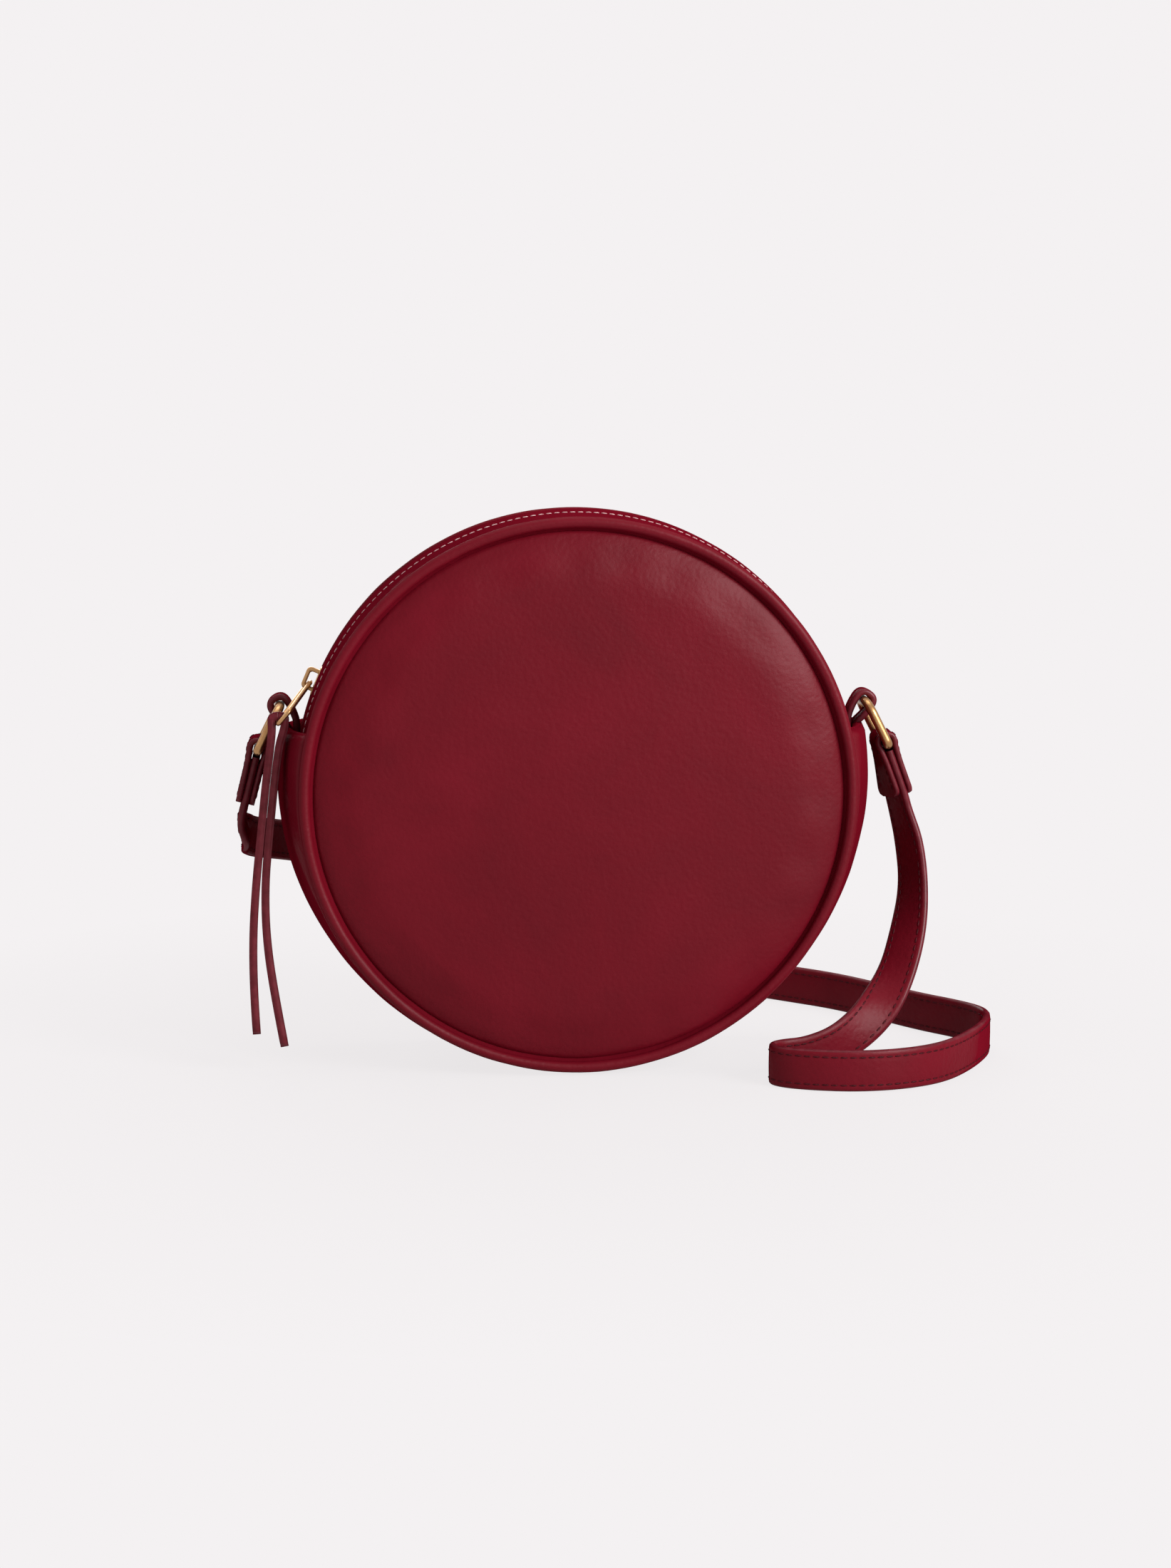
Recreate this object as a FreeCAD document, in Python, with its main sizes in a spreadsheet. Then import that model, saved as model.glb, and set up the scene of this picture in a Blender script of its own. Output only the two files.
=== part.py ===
import FreeCAD, Part
import math
import os

import Sketcher
from FreeCAD import Placement, Rotation, Vector

# Round leather crossbody bag. Millimetres, +X right, +Y back, +Z up.
# The origin is on the floor under the middle of the bag, and the round panels face -Y and +Y.

doc = FreeCAD.newDocument("circle_bag")
sheet = doc.addObject("Spreadsheet::Sheet", "Sizes")

SIZES = [
    # round panels, seen from the front
    ("panel_radius", 89.9),
    ("shoulder_width", 11.9),
    ("shoulder_rise", 4.8),
    ("crown_rise", 2.0),
    ("panel_leather", 1.4),
    ("foam_set", 1.2),
    ("lining_cloth", 0.7),
    ("layer_gap", 0.1),
    # piping sewn between panel and side
    ("piping_out", 2.3),
    ("piping_thickness", 3.8),
    ("piping_forward", 2.0),
    # lower side band, a barrel that bulges past the panels
    ("band_half", 26.4),
    ("band_out", 3.3),
    ("band_bulge", 7.4),
    ("band_rise", 5.0),
    ("band_leather", 1.5),
    ("base_flat", 0.6),
    ("pocket_mouth", 20.9),
    ("lining_mouth", 1.0),
    # zip strips over the top
    ("facing_out", 1.7),
    ("facing_crown", 4.2),
    ("facing_edge_half", 4.6),
    ("facing_leather", 1.4),
    ("facing_end", 4.0),
    ("tape_drop", 2.5),
    ("tape_cloth", 0.7),
    ("tape_edge_half", 2.3),
    ("tape_tuck", 11.4),
    ("tooth_foot_half", 2.2),
    ("tooth_reach", 0.7),
    ("tooth_width", 1.1),
    ("tooth_pitch", 2.4),
    ("tooth_rise", 1.0),
    ("tooth_depth", 1.6),
    ("zip_last_angle", 22.5),
    ("stop_room_angle", 2.5),
    ("stop_length", 1.8),
    # slider, drawn with its length along the zip
    ("slider_lift", 16.5),
    ("slider_stop_angle", 4.5),
    ("slider_mesh_angle", 0.5),
    ("slider_length", 10.0),
    ("slider_wide_half", 4.1),
    ("slider_plate", 1.1),
    ("slider_floor", 0.9),
    ("slider_gap", 0.4),
    ("slider_rail", 0.8),
    ("slider_post_half", 0.6),
    ("slider_post_length", 1.8),
    ("bridge_span_half", 3.9),
    ("bridge_bar", 1.4),
    ("bridge_height", 4.1),
    ("bridge_width", 1.4),
    ("bridge_bend", 1.6),
    # wire pull and its leather thong
    ("pull_wire", 1.6),
    ("pull_apex_front", 0.9),
    ("pull_apex_back", 1.6),
    ("pull_apex_bend", 1.6),
    ("pull_corner_bend", 1.6),
    ("pull_rise", 1.45),
    ("pull_out", 10.7),
    ("pull_lift", 4.1),
    ("thong_depth", 17.0),
    ("thong_hang", 110.8),
    ("thong_width", 5.0),
    ("thong_thickness", 2.4),
    ("thong_bore_gap", 0.4),
    # leather loops at the sides, rings and strap tabs
    ("eye_out", 10.5),
    ("eye_lift", 8.1),
    ("loop_width", 7.4),
    ("loop_leather", 1.9),
    ("loop_bore_gap", 0.5),
    ("loop_tongue", 3.6),
    ("tongue_mouth_out", 5.1),
    ("tongue_end_out", 6.8),
    ("tongue_tuck", 13.9),
    ("ring_wire", 3.2),
    ("ring_drop", 16.5),
    ("ring_span", 18.4),
    ("ring_top_bend", 5.0),
    ("ring_low_bend", 1.9),
    ("ring_tilt", 27.0),
    ("tab_tilt", 14.5),
    ("tab_length", 19.0),
    ("tab_width", 14.0),
    ("tab_leather", 1.7),
    ("tab_bore_gap", 0.4),
    ("strap_width", 14.0),
    ("strap_thickness", 2.6),
    ("strap_gap", 0.3),
    ("strap_inset", 6.0),
    ("strap_lead", 6.0),
    ("overrun", 1.0),
]

for row, (name, value) in enumerate(SIZES, start=1):
    sheet.set(f"A{row}", name)
    sheet.set(f"B{row}", str(value))
    sheet.setAlias(f"B{row}", name)
doc.recompute()


class Size:
    """A length with the sheet expression that it comes from."""

    def __init__(self, value, text):
        self.value = value
        self.text = text

    def __add__(self, other):
        return Size(self.value + plain(other), f"({self.text} + {words(other)})")

    def __sub__(self, other):
        return Size(self.value - plain(other), f"({self.text} - {words(other)})")

    def __mul__(self, other):
        return Size(self.value * plain(other), f"({self.text} * {words(other)})")

    def __truediv__(self, other):
        return Size(self.value / plain(other), f"({self.text} / {words(other)})")

    def __neg__(self):
        return Size(-self.value, f"(0 - {self.text})")


def plain(item):
    return item.value if isinstance(item, Size) else item


def words(item):
    return item.text if isinstance(item, Size) else str(item)


def size(name):
    return Size(float(getattr(sheet, name)), f"Sizes.{name}")


def mm(name):
    return float(getattr(sheet, name))


# Radii about the bag's axis and half depths from its middle, each set off from the one that carries it
panel_radius = size("panel_radius")
panel_flat = panel_radius - size("shoulder_width")
rim_half = size("band_half")
shoulder_half = rim_half + size("shoulder_rise")
crown_half = shoulder_half + size("crown_rise")
foam_back = rim_half + size("foam_set")
band_seam = panel_radius + size("band_out")
band_side = band_seam + size("band_bulge")
facing_seam = panel_radius + size("facing_out")
facing_crest = facing_seam + size("facing_crown")
tape_top = facing_crest - size("tape_drop")
tooth_top = tape_top + size("tooth_rise")
tooth_bottom = tape_top - size("tooth_depth")
plate_low = tooth_top + size("slider_gap")
plate_top = plate_low + size("slider_plate")

# The slider rests at the left end of the zip, at this angle above the level and clear of the loop.
slider_angle = math.degrees(math.asin((mm("pocket_mouth") + mm("slider_lift")) / plate_top.value))

# The panels' centre stands this high, so that the flattened base of the side band is on the floor.
axis_height = band_side - size("band_rise") - size("base_flat")
AXIS = axis_height.value
Y_AXIS = Vector(0, 1, 0)


def crest_radius(run, rise):
    """Radius of an arc that starts level and falls by rise over run."""
    return (run * run + rise * rise) / (rise * 2)


def draw(sketch, outline):
    """Draw a closed outline of (x, y, radius): the radius bends the edge that starts there."""
    count = len(outline)
    ends = []
    for index, (x, y, radius) in enumerate(outline):
        nx, ny, _ = outline[(index + 1) % count]
        start, stop = Vector(plain(x), plain(y)), Vector(plain(nx), plain(ny))
        if radius is None:
            ends.append((sketch.addGeometry(Part.LineSegment(start, stop)), 1, 2))
            continue
        chord = stop - start
        reach = abs(plain(radius))
        side = math.copysign(1, plain(radius))
        sag = math.sqrt(max(reach * reach - chord.Length * chord.Length / 4, 0))
        across = Vector(-chord.y, chord.x).normalize()
        centre = (start + stop) / 2 + across * (sag * side)
        first = math.atan2(start.y - centre.y, start.x - centre.x)
        last = math.atan2(stop.y - centre.y, stop.x - centre.x)
        circle = Part.Circle(centre, Vector(0, 0, 1), reach)
        if side > 0:
            arc = Part.ArcOfCircle(circle, first, last)
            ends.append((sketch.addGeometry(arc), 1, 2))
        else:
            arc = Part.ArcOfCircle(circle, last, first)
            ends.append((sketch.addGeometry(arc), 2, 1))
    for index, (geometry, begin, finish) in enumerate(ends):
        after, after_begin, _ = ends[(index + 1) % count]
        sketch.addConstraint(Sketcher.Constraint("Coincident", geometry, finish, after, after_begin))
    for (geometry, begin, _), (x, y, radius) in zip(ends, outline):
        place(sketch, "DistanceX", geometry, begin, x, -2)
        place(sketch, "DistanceY", geometry, begin, y, -1)
        if radius is not None:
            reach = radius if plain(radius) > 0 else -radius
            number = sketch.addConstraint(Sketcher.Constraint("Radius", geometry, reach.value))
            sketch.setExpression(f"Constraints[{number}]", reach.text)


def place(sketch, kind, geometry, point, where, axis):
    """Hold one coordinate of a point at a size, or on an axis where it is zero."""
    value = plain(where)
    if value == 0:
        sketch.addConstraint(Sketcher.Constraint("PointOnObject", geometry, point, axis))
        return
    if value > 0:
        number = sketch.addConstraint(Sketcher.Constraint(kind, -1, 1, geometry, point, value))
        sketch.setExpression(f"Constraints[{number}]", words(where))
    else:
        number = sketch.addConstraint(Sketcher.Constraint(kind, geometry, point, -1, 1, -value))
        sketch.setExpression(f"Constraints[{number}]", words(-where))


def new_body(label):
    body = doc.addObject("PartDesign::Body", label)
    body.Label = label
    return body


def new_sketch(body, name, role, outline, offset=None):
    sketch = body.newObject("Sketcher::SketchObject", name)
    plane = next(item for item in body.Origin.OriginFeatures if item.Role == role)
    sketch.AttachmentSupport = [(plane, "")]
    sketch.MapMode = "FlatFace"
    draw(sketch, outline)
    if offset is not None:
        sketch.AttachmentOffset = Placement(Vector(0, 0, offset.value), Rotation())
        sketch.setExpression("AttachmentOffset.Base.z", offset.text)
    return sketch


def pad(body, name, sketch, length, symmetric=False):
    feature = body.newObject("PartDesign::Pad", name)
    feature.Profile = sketch
    feature.Length = length.value
    feature.setExpression("Length", length.text)
    feature.Midplane = symmetric
    return feature


def turned(label, outline, rotation, half_angle=None):
    """A body turned about the bag's axis, in full or by a half angle to each side of its X axis."""
    body = new_body(label)
    sketch = new_sketch(body, f"{label}_profile", "XY_Plane", outline)
    turn = body.newObject("PartDesign::Revolution", f"{label}_turn")
    turn.Profile = sketch
    turn.ReferenceAxis = (sketch, ["V_Axis"])
    turn.Angle = 360
    if half_angle is not None:
        turn.Midplane = True
        turn.Angle = 2 * half_angle.value
        turn.setExpression("Angle", f"2 * {half_angle.text}")
    on_axis(body, rotation)
    return body


def on_axis(item, rotation):
    item.Placement = Placement(Vector(0, 0, AXIS), rotation)
    item.setExpression("Placement.Base.z", axis_height.text)


def solid(label, shape, placement=None):
    feature = doc.addObject("Part::Feature", label)
    feature.Label = label
    feature.Shape = shape
    if placement is not None:
        feature.Placement = placement
    return feature


# A profile is drawn with Y as the distance from the middle. These turn it to the front or the back.
FRONT = Rotation(Vector(0, 0, 1), 180)
BACK = Rotation()
FRONT_TOP = Rotation(Vector(1, 0, 1), 180)
BACK_TOP = Rotation(Y_AXIS, -90)
SIDES = {"front": (FRONT, FRONT_TOP), "back": (BACK, BACK_TOP)}


# Panels: domed leather, foam behind it, and a lining disc

def panel_outline():
    flat, rim = panel_flat, panel_radius
    crown, shoulder = crown_half, shoulder_half
    edge, leather = rim_half, size("panel_leather")
    dome = crest_radius(flat, crown - shoulder)
    outer = crest_radius(rim - flat, shoulder - edge)
    inner = crest_radius(rim - leather - flat, shoulder - leather - edge)
    return [
        (0, crown, -dome),
        (flat, shoulder, -outer),
        (rim, edge, None),
        (rim - leather, edge, inner),
        (flat, shoulder - leather, dome),
        (0, crown - leather, None),
    ]


skin = size("panel_leather") + size("layer_gap")
foam_shoulder = shoulder_half - skin
foam_side = crest_radius(panel_radius - skin - panel_flat, foam_shoulder - rim_half)


def foam_reach():
    """Radius of the foam's flat back, where that plane cuts the shoulder arc."""
    low = foam_side - foam_shoulder + foam_back
    reach = math.sqrt(foam_side.value ** 2 - low.value ** 2)
    return panel_flat + Size(reach, f"sqrt({foam_side.text}^2 - {low.text}^2)")


def foam_outline():
    crown = crown_half - skin
    return [
        (0, foam_back, None),
        (0, crown, -crest_radius(panel_flat, crown - foam_shoulder)),
        (panel_flat, foam_shoulder, -foam_side),
        (foam_reach(), foam_back, None),
    ]


for side, (turn, _) in SIDES.items():
    turned(f"{side}_panel", panel_outline(), turn)
    turned(f"{side}_foam", foam_outline(), turn)
    lining_face = foam_back - size("layer_gap")
    turned(f"{side}_lining", [
        (0, lining_face - size("lining_cloth"), None),
        (foam_reach(), lining_face - size("lining_cloth"), None),
        (foam_reach(), lining_face, None),
        (0, lining_face, None),
    ], turn)


# Piping: a round welt along each rim

piping_half = rim_half + size("piping_forward")
for side, sign in (("front", -1), ("back", 1)):
    piping = doc.addObject("Part::Torus", f"{side}_piping")
    piping.Label = f"{side}_piping"
    piping.setExpression("Radius1", (panel_radius + size("piping_out")).text)
    piping.setExpression("Radius2", (size("piping_thickness") / 2).text)
    piping.Placement = Placement(Vector(0, sign * piping_half.value, AXIS), Rotation(Vector(1, 0, 0), 90))
    piping.setExpression("Placement.Base.y", (piping_half * sign).text)
    piping.setExpression("Placement.Base.z", axis_height.text)


# Lower side band: lofted from crescents that grow from the seam circle to the bulged middle

BAND_SECTION_SHARES = (-1.0, -0.5, 0.0, 0.5, 1.0)


def crescent(share, inset, thickness, mouth):
    """Closed outline of the band at one depth, open at the top where its ends stop."""
    bulge = 1 - share * share
    depth = share * mm("band_half")
    outer = band_seam.value + mm("band_bulge") * bulge - inset
    height = AXIS + mm("band_rise") * bulge
    top = AXIS + mouth

    def at(radius, side, turn):
        return Vector(side * radius * math.cos(turn), depth, height + radius * math.sin(turn))

    def half(radius, side):
        end = math.asin((top - height) / radius)
        middle = (end - math.pi / 2) / 2
        return at(radius, side, end), at(radius, side, middle), at(radius, side, -math.pi / 2)

    inner = outer - thickness
    right_out, left_out = half(outer, 1), half(outer, -1)
    right_in, left_in = half(inner, 1), half(inner, -1)
    edges = [
        Part.Arc(*right_out).toShape(),
        Part.Arc(*reversed(left_out)).toShape(),
        Part.LineSegment(left_out[0], left_in[0]).toShape(),
        Part.Arc(*left_in).toShape(),
        Part.Arc(*reversed(right_in)).toShape(),
        Part.LineSegment(right_in[0], right_out[0]).toShape(),
    ]
    return Part.Wire(edges)


def band(inset, thickness, mouth):
    sections = [crescent(share, inset, thickness, mouth) for share in BAND_SECTION_SHARES]
    return Part.makeLoft(sections, True, False)


def below_floor():
    reach = band_side.value
    block = Part.makeBox(2 * reach, 2 * reach, reach)
    block.translate(Vector(-reach, -reach, -reach))
    return block


solid("side_band", band(0, mm("band_leather"), mm("pocket_mouth")).cut(below_floor()))
solid("side_lining", band(mm("band_leather") + mm("layer_gap"), mm("lining_cloth"), mm("lining_mouth")))


# Zip strips: leather facings, woven tapes and the two rows of teeth

def end_half_angle(radius, rise):
    """Angle from the top at which a strip of this radius ends, at a height above the axis."""
    angle = math.degrees(math.acos(rise.value / radius.value))
    return Size(angle, f"acos({rise.text} / {radius.text})")


facing_half_angle = end_half_angle(facing_crest, size("facing_end"))


def facing_outline():
    edge, leather = size("facing_edge_half"), size("facing_leather")
    bend = crest_radius(rim_half - edge, size("facing_crown"))
    return [
        (facing_crest, edge, bend),
        (facing_seam, rim_half, None),
        (facing_seam - leather, rim_half, -bend),
        (facing_crest - leather, edge, None),
    ]


def tape_outline():
    edge, outer = size("tape_edge_half"), rim_half - size("tape_tuck")
    return [
        (tape_top - size("tape_cloth"), edge, None),
        (tape_top, edge, None),
        (tape_top, outer, None),
        (tape_top - size("tape_cloth"), outer, None),
    ]


for side, (_, turn) in SIDES.items():
    turned(f"{side}_zip_facing", facing_outline(), turn, facing_half_angle)
    turned(f"{side}_zip_tape", tape_outline(), turn, facing_half_angle)


def on_zip(shape, angle):
    """Turn a piece drawn at the top of the bag to an angle, measured clockwise from the top."""
    shape.translate(Vector(0, 0, AXIS))
    shape.rotate(Vector(0, 0, AXIS), Y_AXIS, angle)
    return shape


def tooth(sign):
    height = mm("tooth_rise") + mm("tooth_depth")
    block = Part.makeBox(mm("tooth_width"), mm("tooth_foot_half") + mm("tooth_reach"), height)
    start = -mm("tooth_reach") if sign > 0 else -mm("tooth_foot_half")
    block.translate(Vector(-mm("tooth_width") / 2, start, tooth_bottom.value))
    return block


first_angle = slider_angle + mm("slider_mesh_angle") - 90
last_angle = 90 - mm("zip_last_angle")
pitch_angle = math.degrees(mm("tooth_pitch") / tooth_top.value)
tooth_count = int((last_angle - first_angle) / pitch_angle)
for side, sign in (("front", -1), ("back", 1)):
    shift = 0 if sign < 0 else pitch_angle / 2
    row = [on_zip(tooth(sign), first_angle + shift + number * pitch_angle) for number in range(tooth_count)]
    solid(f"{side}_zip_teeth", Part.makeCompound(row))


def end_stop(inner, outer):
    height = mm("tooth_rise") + mm("tooth_depth")
    block = Part.makeBox(mm("stop_length"), outer - inner, height)
    block.translate(Vector(-mm("stop_length") / 2, inner, tooth_bottom.value))
    return block


stop_half = mm("tooth_foot_half")
post_room = mm("slider_post_half") + mm("slider_gap")
open_stop_angle = slider_angle - mm("slider_stop_angle") - 90
solid("zip_end_stops", Part.makeCompound([
    on_zip(end_stop(-stop_half, stop_half), last_angle + mm("stop_room_angle")),
    on_zip(end_stop(post_room, stop_half), open_stop_angle),
    on_zip(end_stop(-stop_half, -post_room), open_stop_angle),
]))


# Zip slider: two plates joined by a post, side rails and an arched bridge.
# X is away from the bag's axis and Z towards the open end of the zip.

slider_turn = Rotation(Vector(0, -1, 0), 180 - slider_angle)
floor_top = tooth_bottom - size("slider_gap")


def shield(wide, narrow, length):
    """Plan of a slider plate: wide where the rows part, narrow where they leave closed."""
    half = length / 2
    waist = length / 8
    return [
        (-narrow, half, None),
        (-wide, waist, None),
        (-narrow, -half, None),
        (narrow, -half, None),
        (wide, waist, None),
        (narrow, half, None),
    ]


def block_outline(low_y, high_y, low_z, high_z):
    return [(low_y, low_z, None), (high_y, low_z, None), (high_y, high_z, None), (low_y, high_z, None)]


def make_slider():
    body = new_body("zip_slider")
    rail_in = size("tooth_foot_half") + size("slider_gap")
    narrow = rail_in + size("slider_rail")
    wide, length = size("slider_wide_half"), size("slider_length")
    half = length / 2
    upper = new_sketch(body, "slider_upper", "YZ_Plane", shield(wide, narrow, length), plate_low)
    pad(body, "slider_upper_plate", upper, size("slider_plate"))
    post_foot = floor_top - size("slider_floor")
    post_start = half - size("slider_post_length")
    post_half = size("slider_post_half")
    post_outline = block_outline(-post_half, post_half, post_start, half)
    post = new_sketch(body, "slider_post", "YZ_Plane", post_outline, post_foot)
    pad(body, "slider_post_pad", post, plate_top - post_foot)
    lower = new_sketch(body, "slider_lower", "YZ_Plane", shield(wide, narrow, length), post_foot)
    pad(body, "slider_lower_plate", lower, size("slider_floor"))
    rail_foot = tape_top + size("slider_gap")
    for name, low, high in (("left", -narrow, -rail_in), ("right", rail_in, narrow)):
        rail_outline = block_outline(low, high, -half, half)
        rail = new_sketch(body, f"slider_{name}_rail", "YZ_Plane", rail_outline, rail_foot)
        pad(body, f"slider_{name}_rail_pad", rail, plate_top - rail_foot)
    span, bar, bend = size("bridge_span_half"), size("bridge_bar"), size("bridge_bend")
    foot = plate_low + size("slider_plate") / 2
    top = plate_top + size("bridge_height")
    within = span - bar
    under = top - bar
    small = bend - bar / 2
    bridge = new_sketch(body, "slider_bridge", "XZ_Plane", [
        (foot, -span, None),
        (foot, -within, None),
        (under - small, -within, small),
        (under, -within + small, None),
        (under, within - small, small),
        (under - small, within, None),
        (foot, within, None),
        (foot, span, None),
        (top - bend, span, -bend),
        (top, span - bend, None),
        (top, -span + bend, -bend),
        (top - bend, -span, None),
    ])
    pad(body, "slider_bridge_pad", bridge, size("bridge_width"), symmetric=True)
    body.Placement = Placement(Vector(0, 0, AXIS), slider_turn)
    body.setExpression("Placement.Base.z", axis_height.text)
    slider_rise = size("pocket_mouth") + size("slider_lift")
    body.setExpression("Placement.Rotation.Angle", f"180 deg - asin({slider_rise.text} / {plate_top.text})")
    return body


make_slider()


# Bent wire: straight runs between round corners, given as circles that the wire goes round

def belt(circles):
    """Closed path round circles (x, y, radius), in counter-clockwise order."""
    count = len(circles)
    leaving, arriving = [], []
    for index, (x, y, radius) in enumerate(circles):
        nx, ny, next_radius = circles[(index + 1) % count]
        length = math.hypot(nx - x, ny - y)
        heading = math.atan2(ny - y, nx - x)
        normal = heading - math.acos((radius - next_radius) / length)
        side = Vector(math.cos(normal), math.sin(normal), 0)
        leaving.append((normal, Vector(x, y, 0) + side * radius))
        arriving.append((normal, Vector(nx, ny, 0) + side * next_radius))
    edges = []
    for index, (x, y, radius) in enumerate(circles):
        begin, enter = arriving[index - 1]
        finish, leave = leaving[index]
        while finish < begin:
            finish += 2 * math.pi
        middle = (begin + finish) / 2
        crest = Vector(x + radius * math.cos(middle), y + radius * math.sin(middle), 0)
        edges.append(Part.Arc(enter, crest, leave).toShape())
        edges.append(Part.LineSegment(leave, arriving[index][1]).toShape())
    return Part.Wire(edges)


def bent_wire(circles, thickness):
    path = belt(circles)
    start = path.Edges[1]
    begin = start.valueAt(start.FirstParameter)
    along = start.tangentAt(start.FirstParameter)
    loop = Part.Wire(path.Edges[1:] + path.Edges[:1])
    ring = Part.Wire([Part.Circle(begin, along, thickness / 2).toShape()])
    return loop.makePipeShell([ring], True, False)


def frame(origin, x_axis, y_axis):
    """Placement that puts a drawing's X and Y along two square directions."""
    z_axis = x_axis.cross(y_axis)
    return Placement(origin, Rotation(x_axis, y_axis, z_axis, "ZXY"))


# Pull: a wire triangle through the bridge, whose lower bar runs front to back in front of the ring

def slider_point(radius, along):
    """Point on the bag's middle plane at a radius, and at a length along the zip from the slider."""
    angle = math.radians(slider_angle)
    out = Vector(-math.cos(angle), 0, math.sin(angle))
    up_zip = Vector(math.sin(angle), 0, math.cos(angle))
    return Vector(0, 0, AXIS) + out * radius + up_zip * along


leg_room = mm("bridge_bar") + mm("pull_wire") / 2 + mm("slider_gap")
pull_top = slider_point(plate_top.value + mm("pull_rise"), leg_room - mm("bridge_span_half"))
pull_low = Vector(-panel_radius.value - mm("pull_out"), 0, AXIS + mm("pocket_mouth") + mm("pull_lift"))
pull_down = (pull_low - pull_top).normalize()
pull_length = (pull_low - pull_top).Length
apex, corner = mm("pull_apex_bend"), mm("pull_corner_bend")
bar_half = mm("thong_width") / 2 + mm("pull_wire") / 2 + mm("thong_bore_gap")
bow_radius = mm("pull_wire") / 2 + mm("thong_bore_gap") + mm("thong_thickness")
bow_room = bow_radius + mm("pull_wire") / 2 + mm("thong_bore_gap")
pull_path = [
    (apex, -mm("pull_apex_back"), apex),
    (pull_length - corner, mm("thong_depth") - bar_half + corner, corner),
    (pull_length - corner, mm("thong_depth") + bar_half - corner, corner),
    (pull_length - bow_room, mm("thong_depth") + bar_half - corner, corner),
    (apex, mm("pull_apex_front"), apex),
]
solid("zip_pull", bent_wire(pull_path, mm("pull_wire")), frame(pull_top, pull_down, Vector(0, -1, 0)))


# Thong: one leather lace folded over the pull's bar, its two tails hanging in front of the ring

# Tails as (drop, reach to the left) below the bar, in shares of the hanging length and of the bow's width
THONG_LEFT_SHARES = (
    (0.02, -0.34), (0.06, -0.46), (0.10, -0.58), (0.19, -0.79), (0.34, -1.00),
    (0.50, -1.26), (0.67, -1.40), (0.85, -1.35), (0.96, -1.24),
)
THONG_RIGHT_SHARES = (
    (0.02, 0.31), (0.06, 0.08), (0.10, -0.12), (0.19, -0.36), (0.34, -0.54),
    (0.50, -0.79), (0.67, -0.71), (0.85, -0.33), (1.00, 0.08),
)


def lace_edge(points):
    curve = Part.BSplineCurve()
    curve.interpolate(points)
    return curve.toShape()


def tail_face(start_x, points, thickness):
    """Flat lace along the points, in the plane of the front, with a square end."""
    low = pull_low
    route = [Vector(start_x, 0, low.z)]
    route += [Vector(low.x + out, 0, low.z - drop) for drop, out in points]
    left, right = [], []
    for index, point in enumerate(route):
        before = route[max(index - 1, 0)]
        after = route[min(index + 1, len(route) - 1)]
        along = (after - before).normalize() if index else Vector(0, 0, -1)
        across = Vector(-along.z, 0, along.x)
        left.append(point - across * (thickness / 2))
        right.append(point + across * (thickness / 2))
    edges = [
        lace_edge(left),
        Part.LineSegment(left[-1], right[-1]).toShape(),
        lace_edge(right[::-1]),
        Part.LineSegment(right[0], left[0]).toShape(),
    ]
    return Part.Face(Part.Wire(edges))


def make_thong():
    thickness, width = mm("thong_thickness"), mm("thong_width")
    bore = bow_radius - thickness
    span = 2 * bow_radius
    begin = Vector(0, -mm("thong_depth") - width / 2, 0)
    across = Vector(0, width, 0)
    over = mm("overrun")
    bow = Part.makeCylinder(bow_radius, width, pull_low + begin, Y_AXIS)
    hole = Part.makeCylinder(bore, width + 2 * over, pull_low + begin - Y_AXIS * over, Y_AXIS)
    lower = Part.makeBox(2 * span, width, span)
    lower.translate(pull_low + begin + Vector(-span, 0, -span))
    lace = bow.cut(hole).cut(lower)
    middle = bore + thickness / 2
    for sign, shares in ((-1, THONG_LEFT_SHARES), (1, THONG_RIGHT_SHARES)):
        points = [(drop * mm("thong_hang"), out * span) for drop, out in shares]
        face = tail_face(pull_low.x + sign * middle, points, thickness)
        face.translate(begin)
        lace = lace.fuse(face.extrude(across))
    return lace.removeSplitter()


solid("pull_thong", make_thong())


# Leather loop that holds a ring: a round eye whose two layers run down into the side pocket

def tongue_quad(start, stop, half_start, half_stop, width):
    along = (stop - start).normalize()
    across = Vector(along.z, 0, -along.x)
    corners = [
        start + across * half_start,
        stop + across * half_stop,
        stop - across * half_stop,
        start - across * half_start,
    ]
    face = Part.Face(Part.makePolygon(corners + corners[:1]))
    face.translate(Vector(0, -width / 2, 0))
    return face.extrude(Vector(0, width, 0))


eye = Vector(panel_radius.value + mm("eye_out"), 0, AXIS + mm("pocket_mouth") + mm("eye_lift"))
loop_bore = mm("ring_wire") / 2 + mm("loop_bore_gap")


def make_loop():
    width, outer = mm("loop_width"), loop_bore + mm("loop_leather")
    half = mm("loop_tongue") / 2
    mouth = Vector(panel_radius.value + mm("tongue_mouth_out"), 0, AXIS + mm("pocket_mouth"))
    end = Vector(panel_radius.value + mm("tongue_end_out"), 0, mouth.z - mm("tongue_tuck"))
    start = Vector(0, -width / 2, 0)
    shape = Part.makeCylinder(outer, width, eye + start, Y_AXIS)
    shape = shape.fuse(tongue_quad(eye, mouth, outer, half, width))
    shape = shape.fuse(tongue_quad(mouth, end, half, half, width))
    shape = shape.fuse(Part.makeCylinder(half, width, mouth + start, Y_AXIS))
    over = mm("overrun")
    bore = Part.makeCylinder(loop_bore, width + 2 * over, eye + start - Y_AXIS * over, Y_AXIS)
    return shape.cut(bore).removeSplitter()


# Ring: bent wire, rounded at the top where it turns in the loop, with a straight bar for the strap tab

ring_angle = math.radians(mm("ring_tilt"))
ring_down = Vector(math.sin(ring_angle), 0, -math.cos(ring_angle))
ring_low = eye + ring_down * mm("ring_drop")


def make_ring():
    top, low = mm("ring_top_bend"), mm("ring_low_bend")
    half, drop = mm("ring_span") / 2, mm("ring_drop")
    circles = [
        (top, top - half, top),
        (drop - low, low - half, low),
        (drop - low, half - low, low),
        (top, half - top, top),
    ]
    return bent_wire(circles, mm("ring_wire"))


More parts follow.
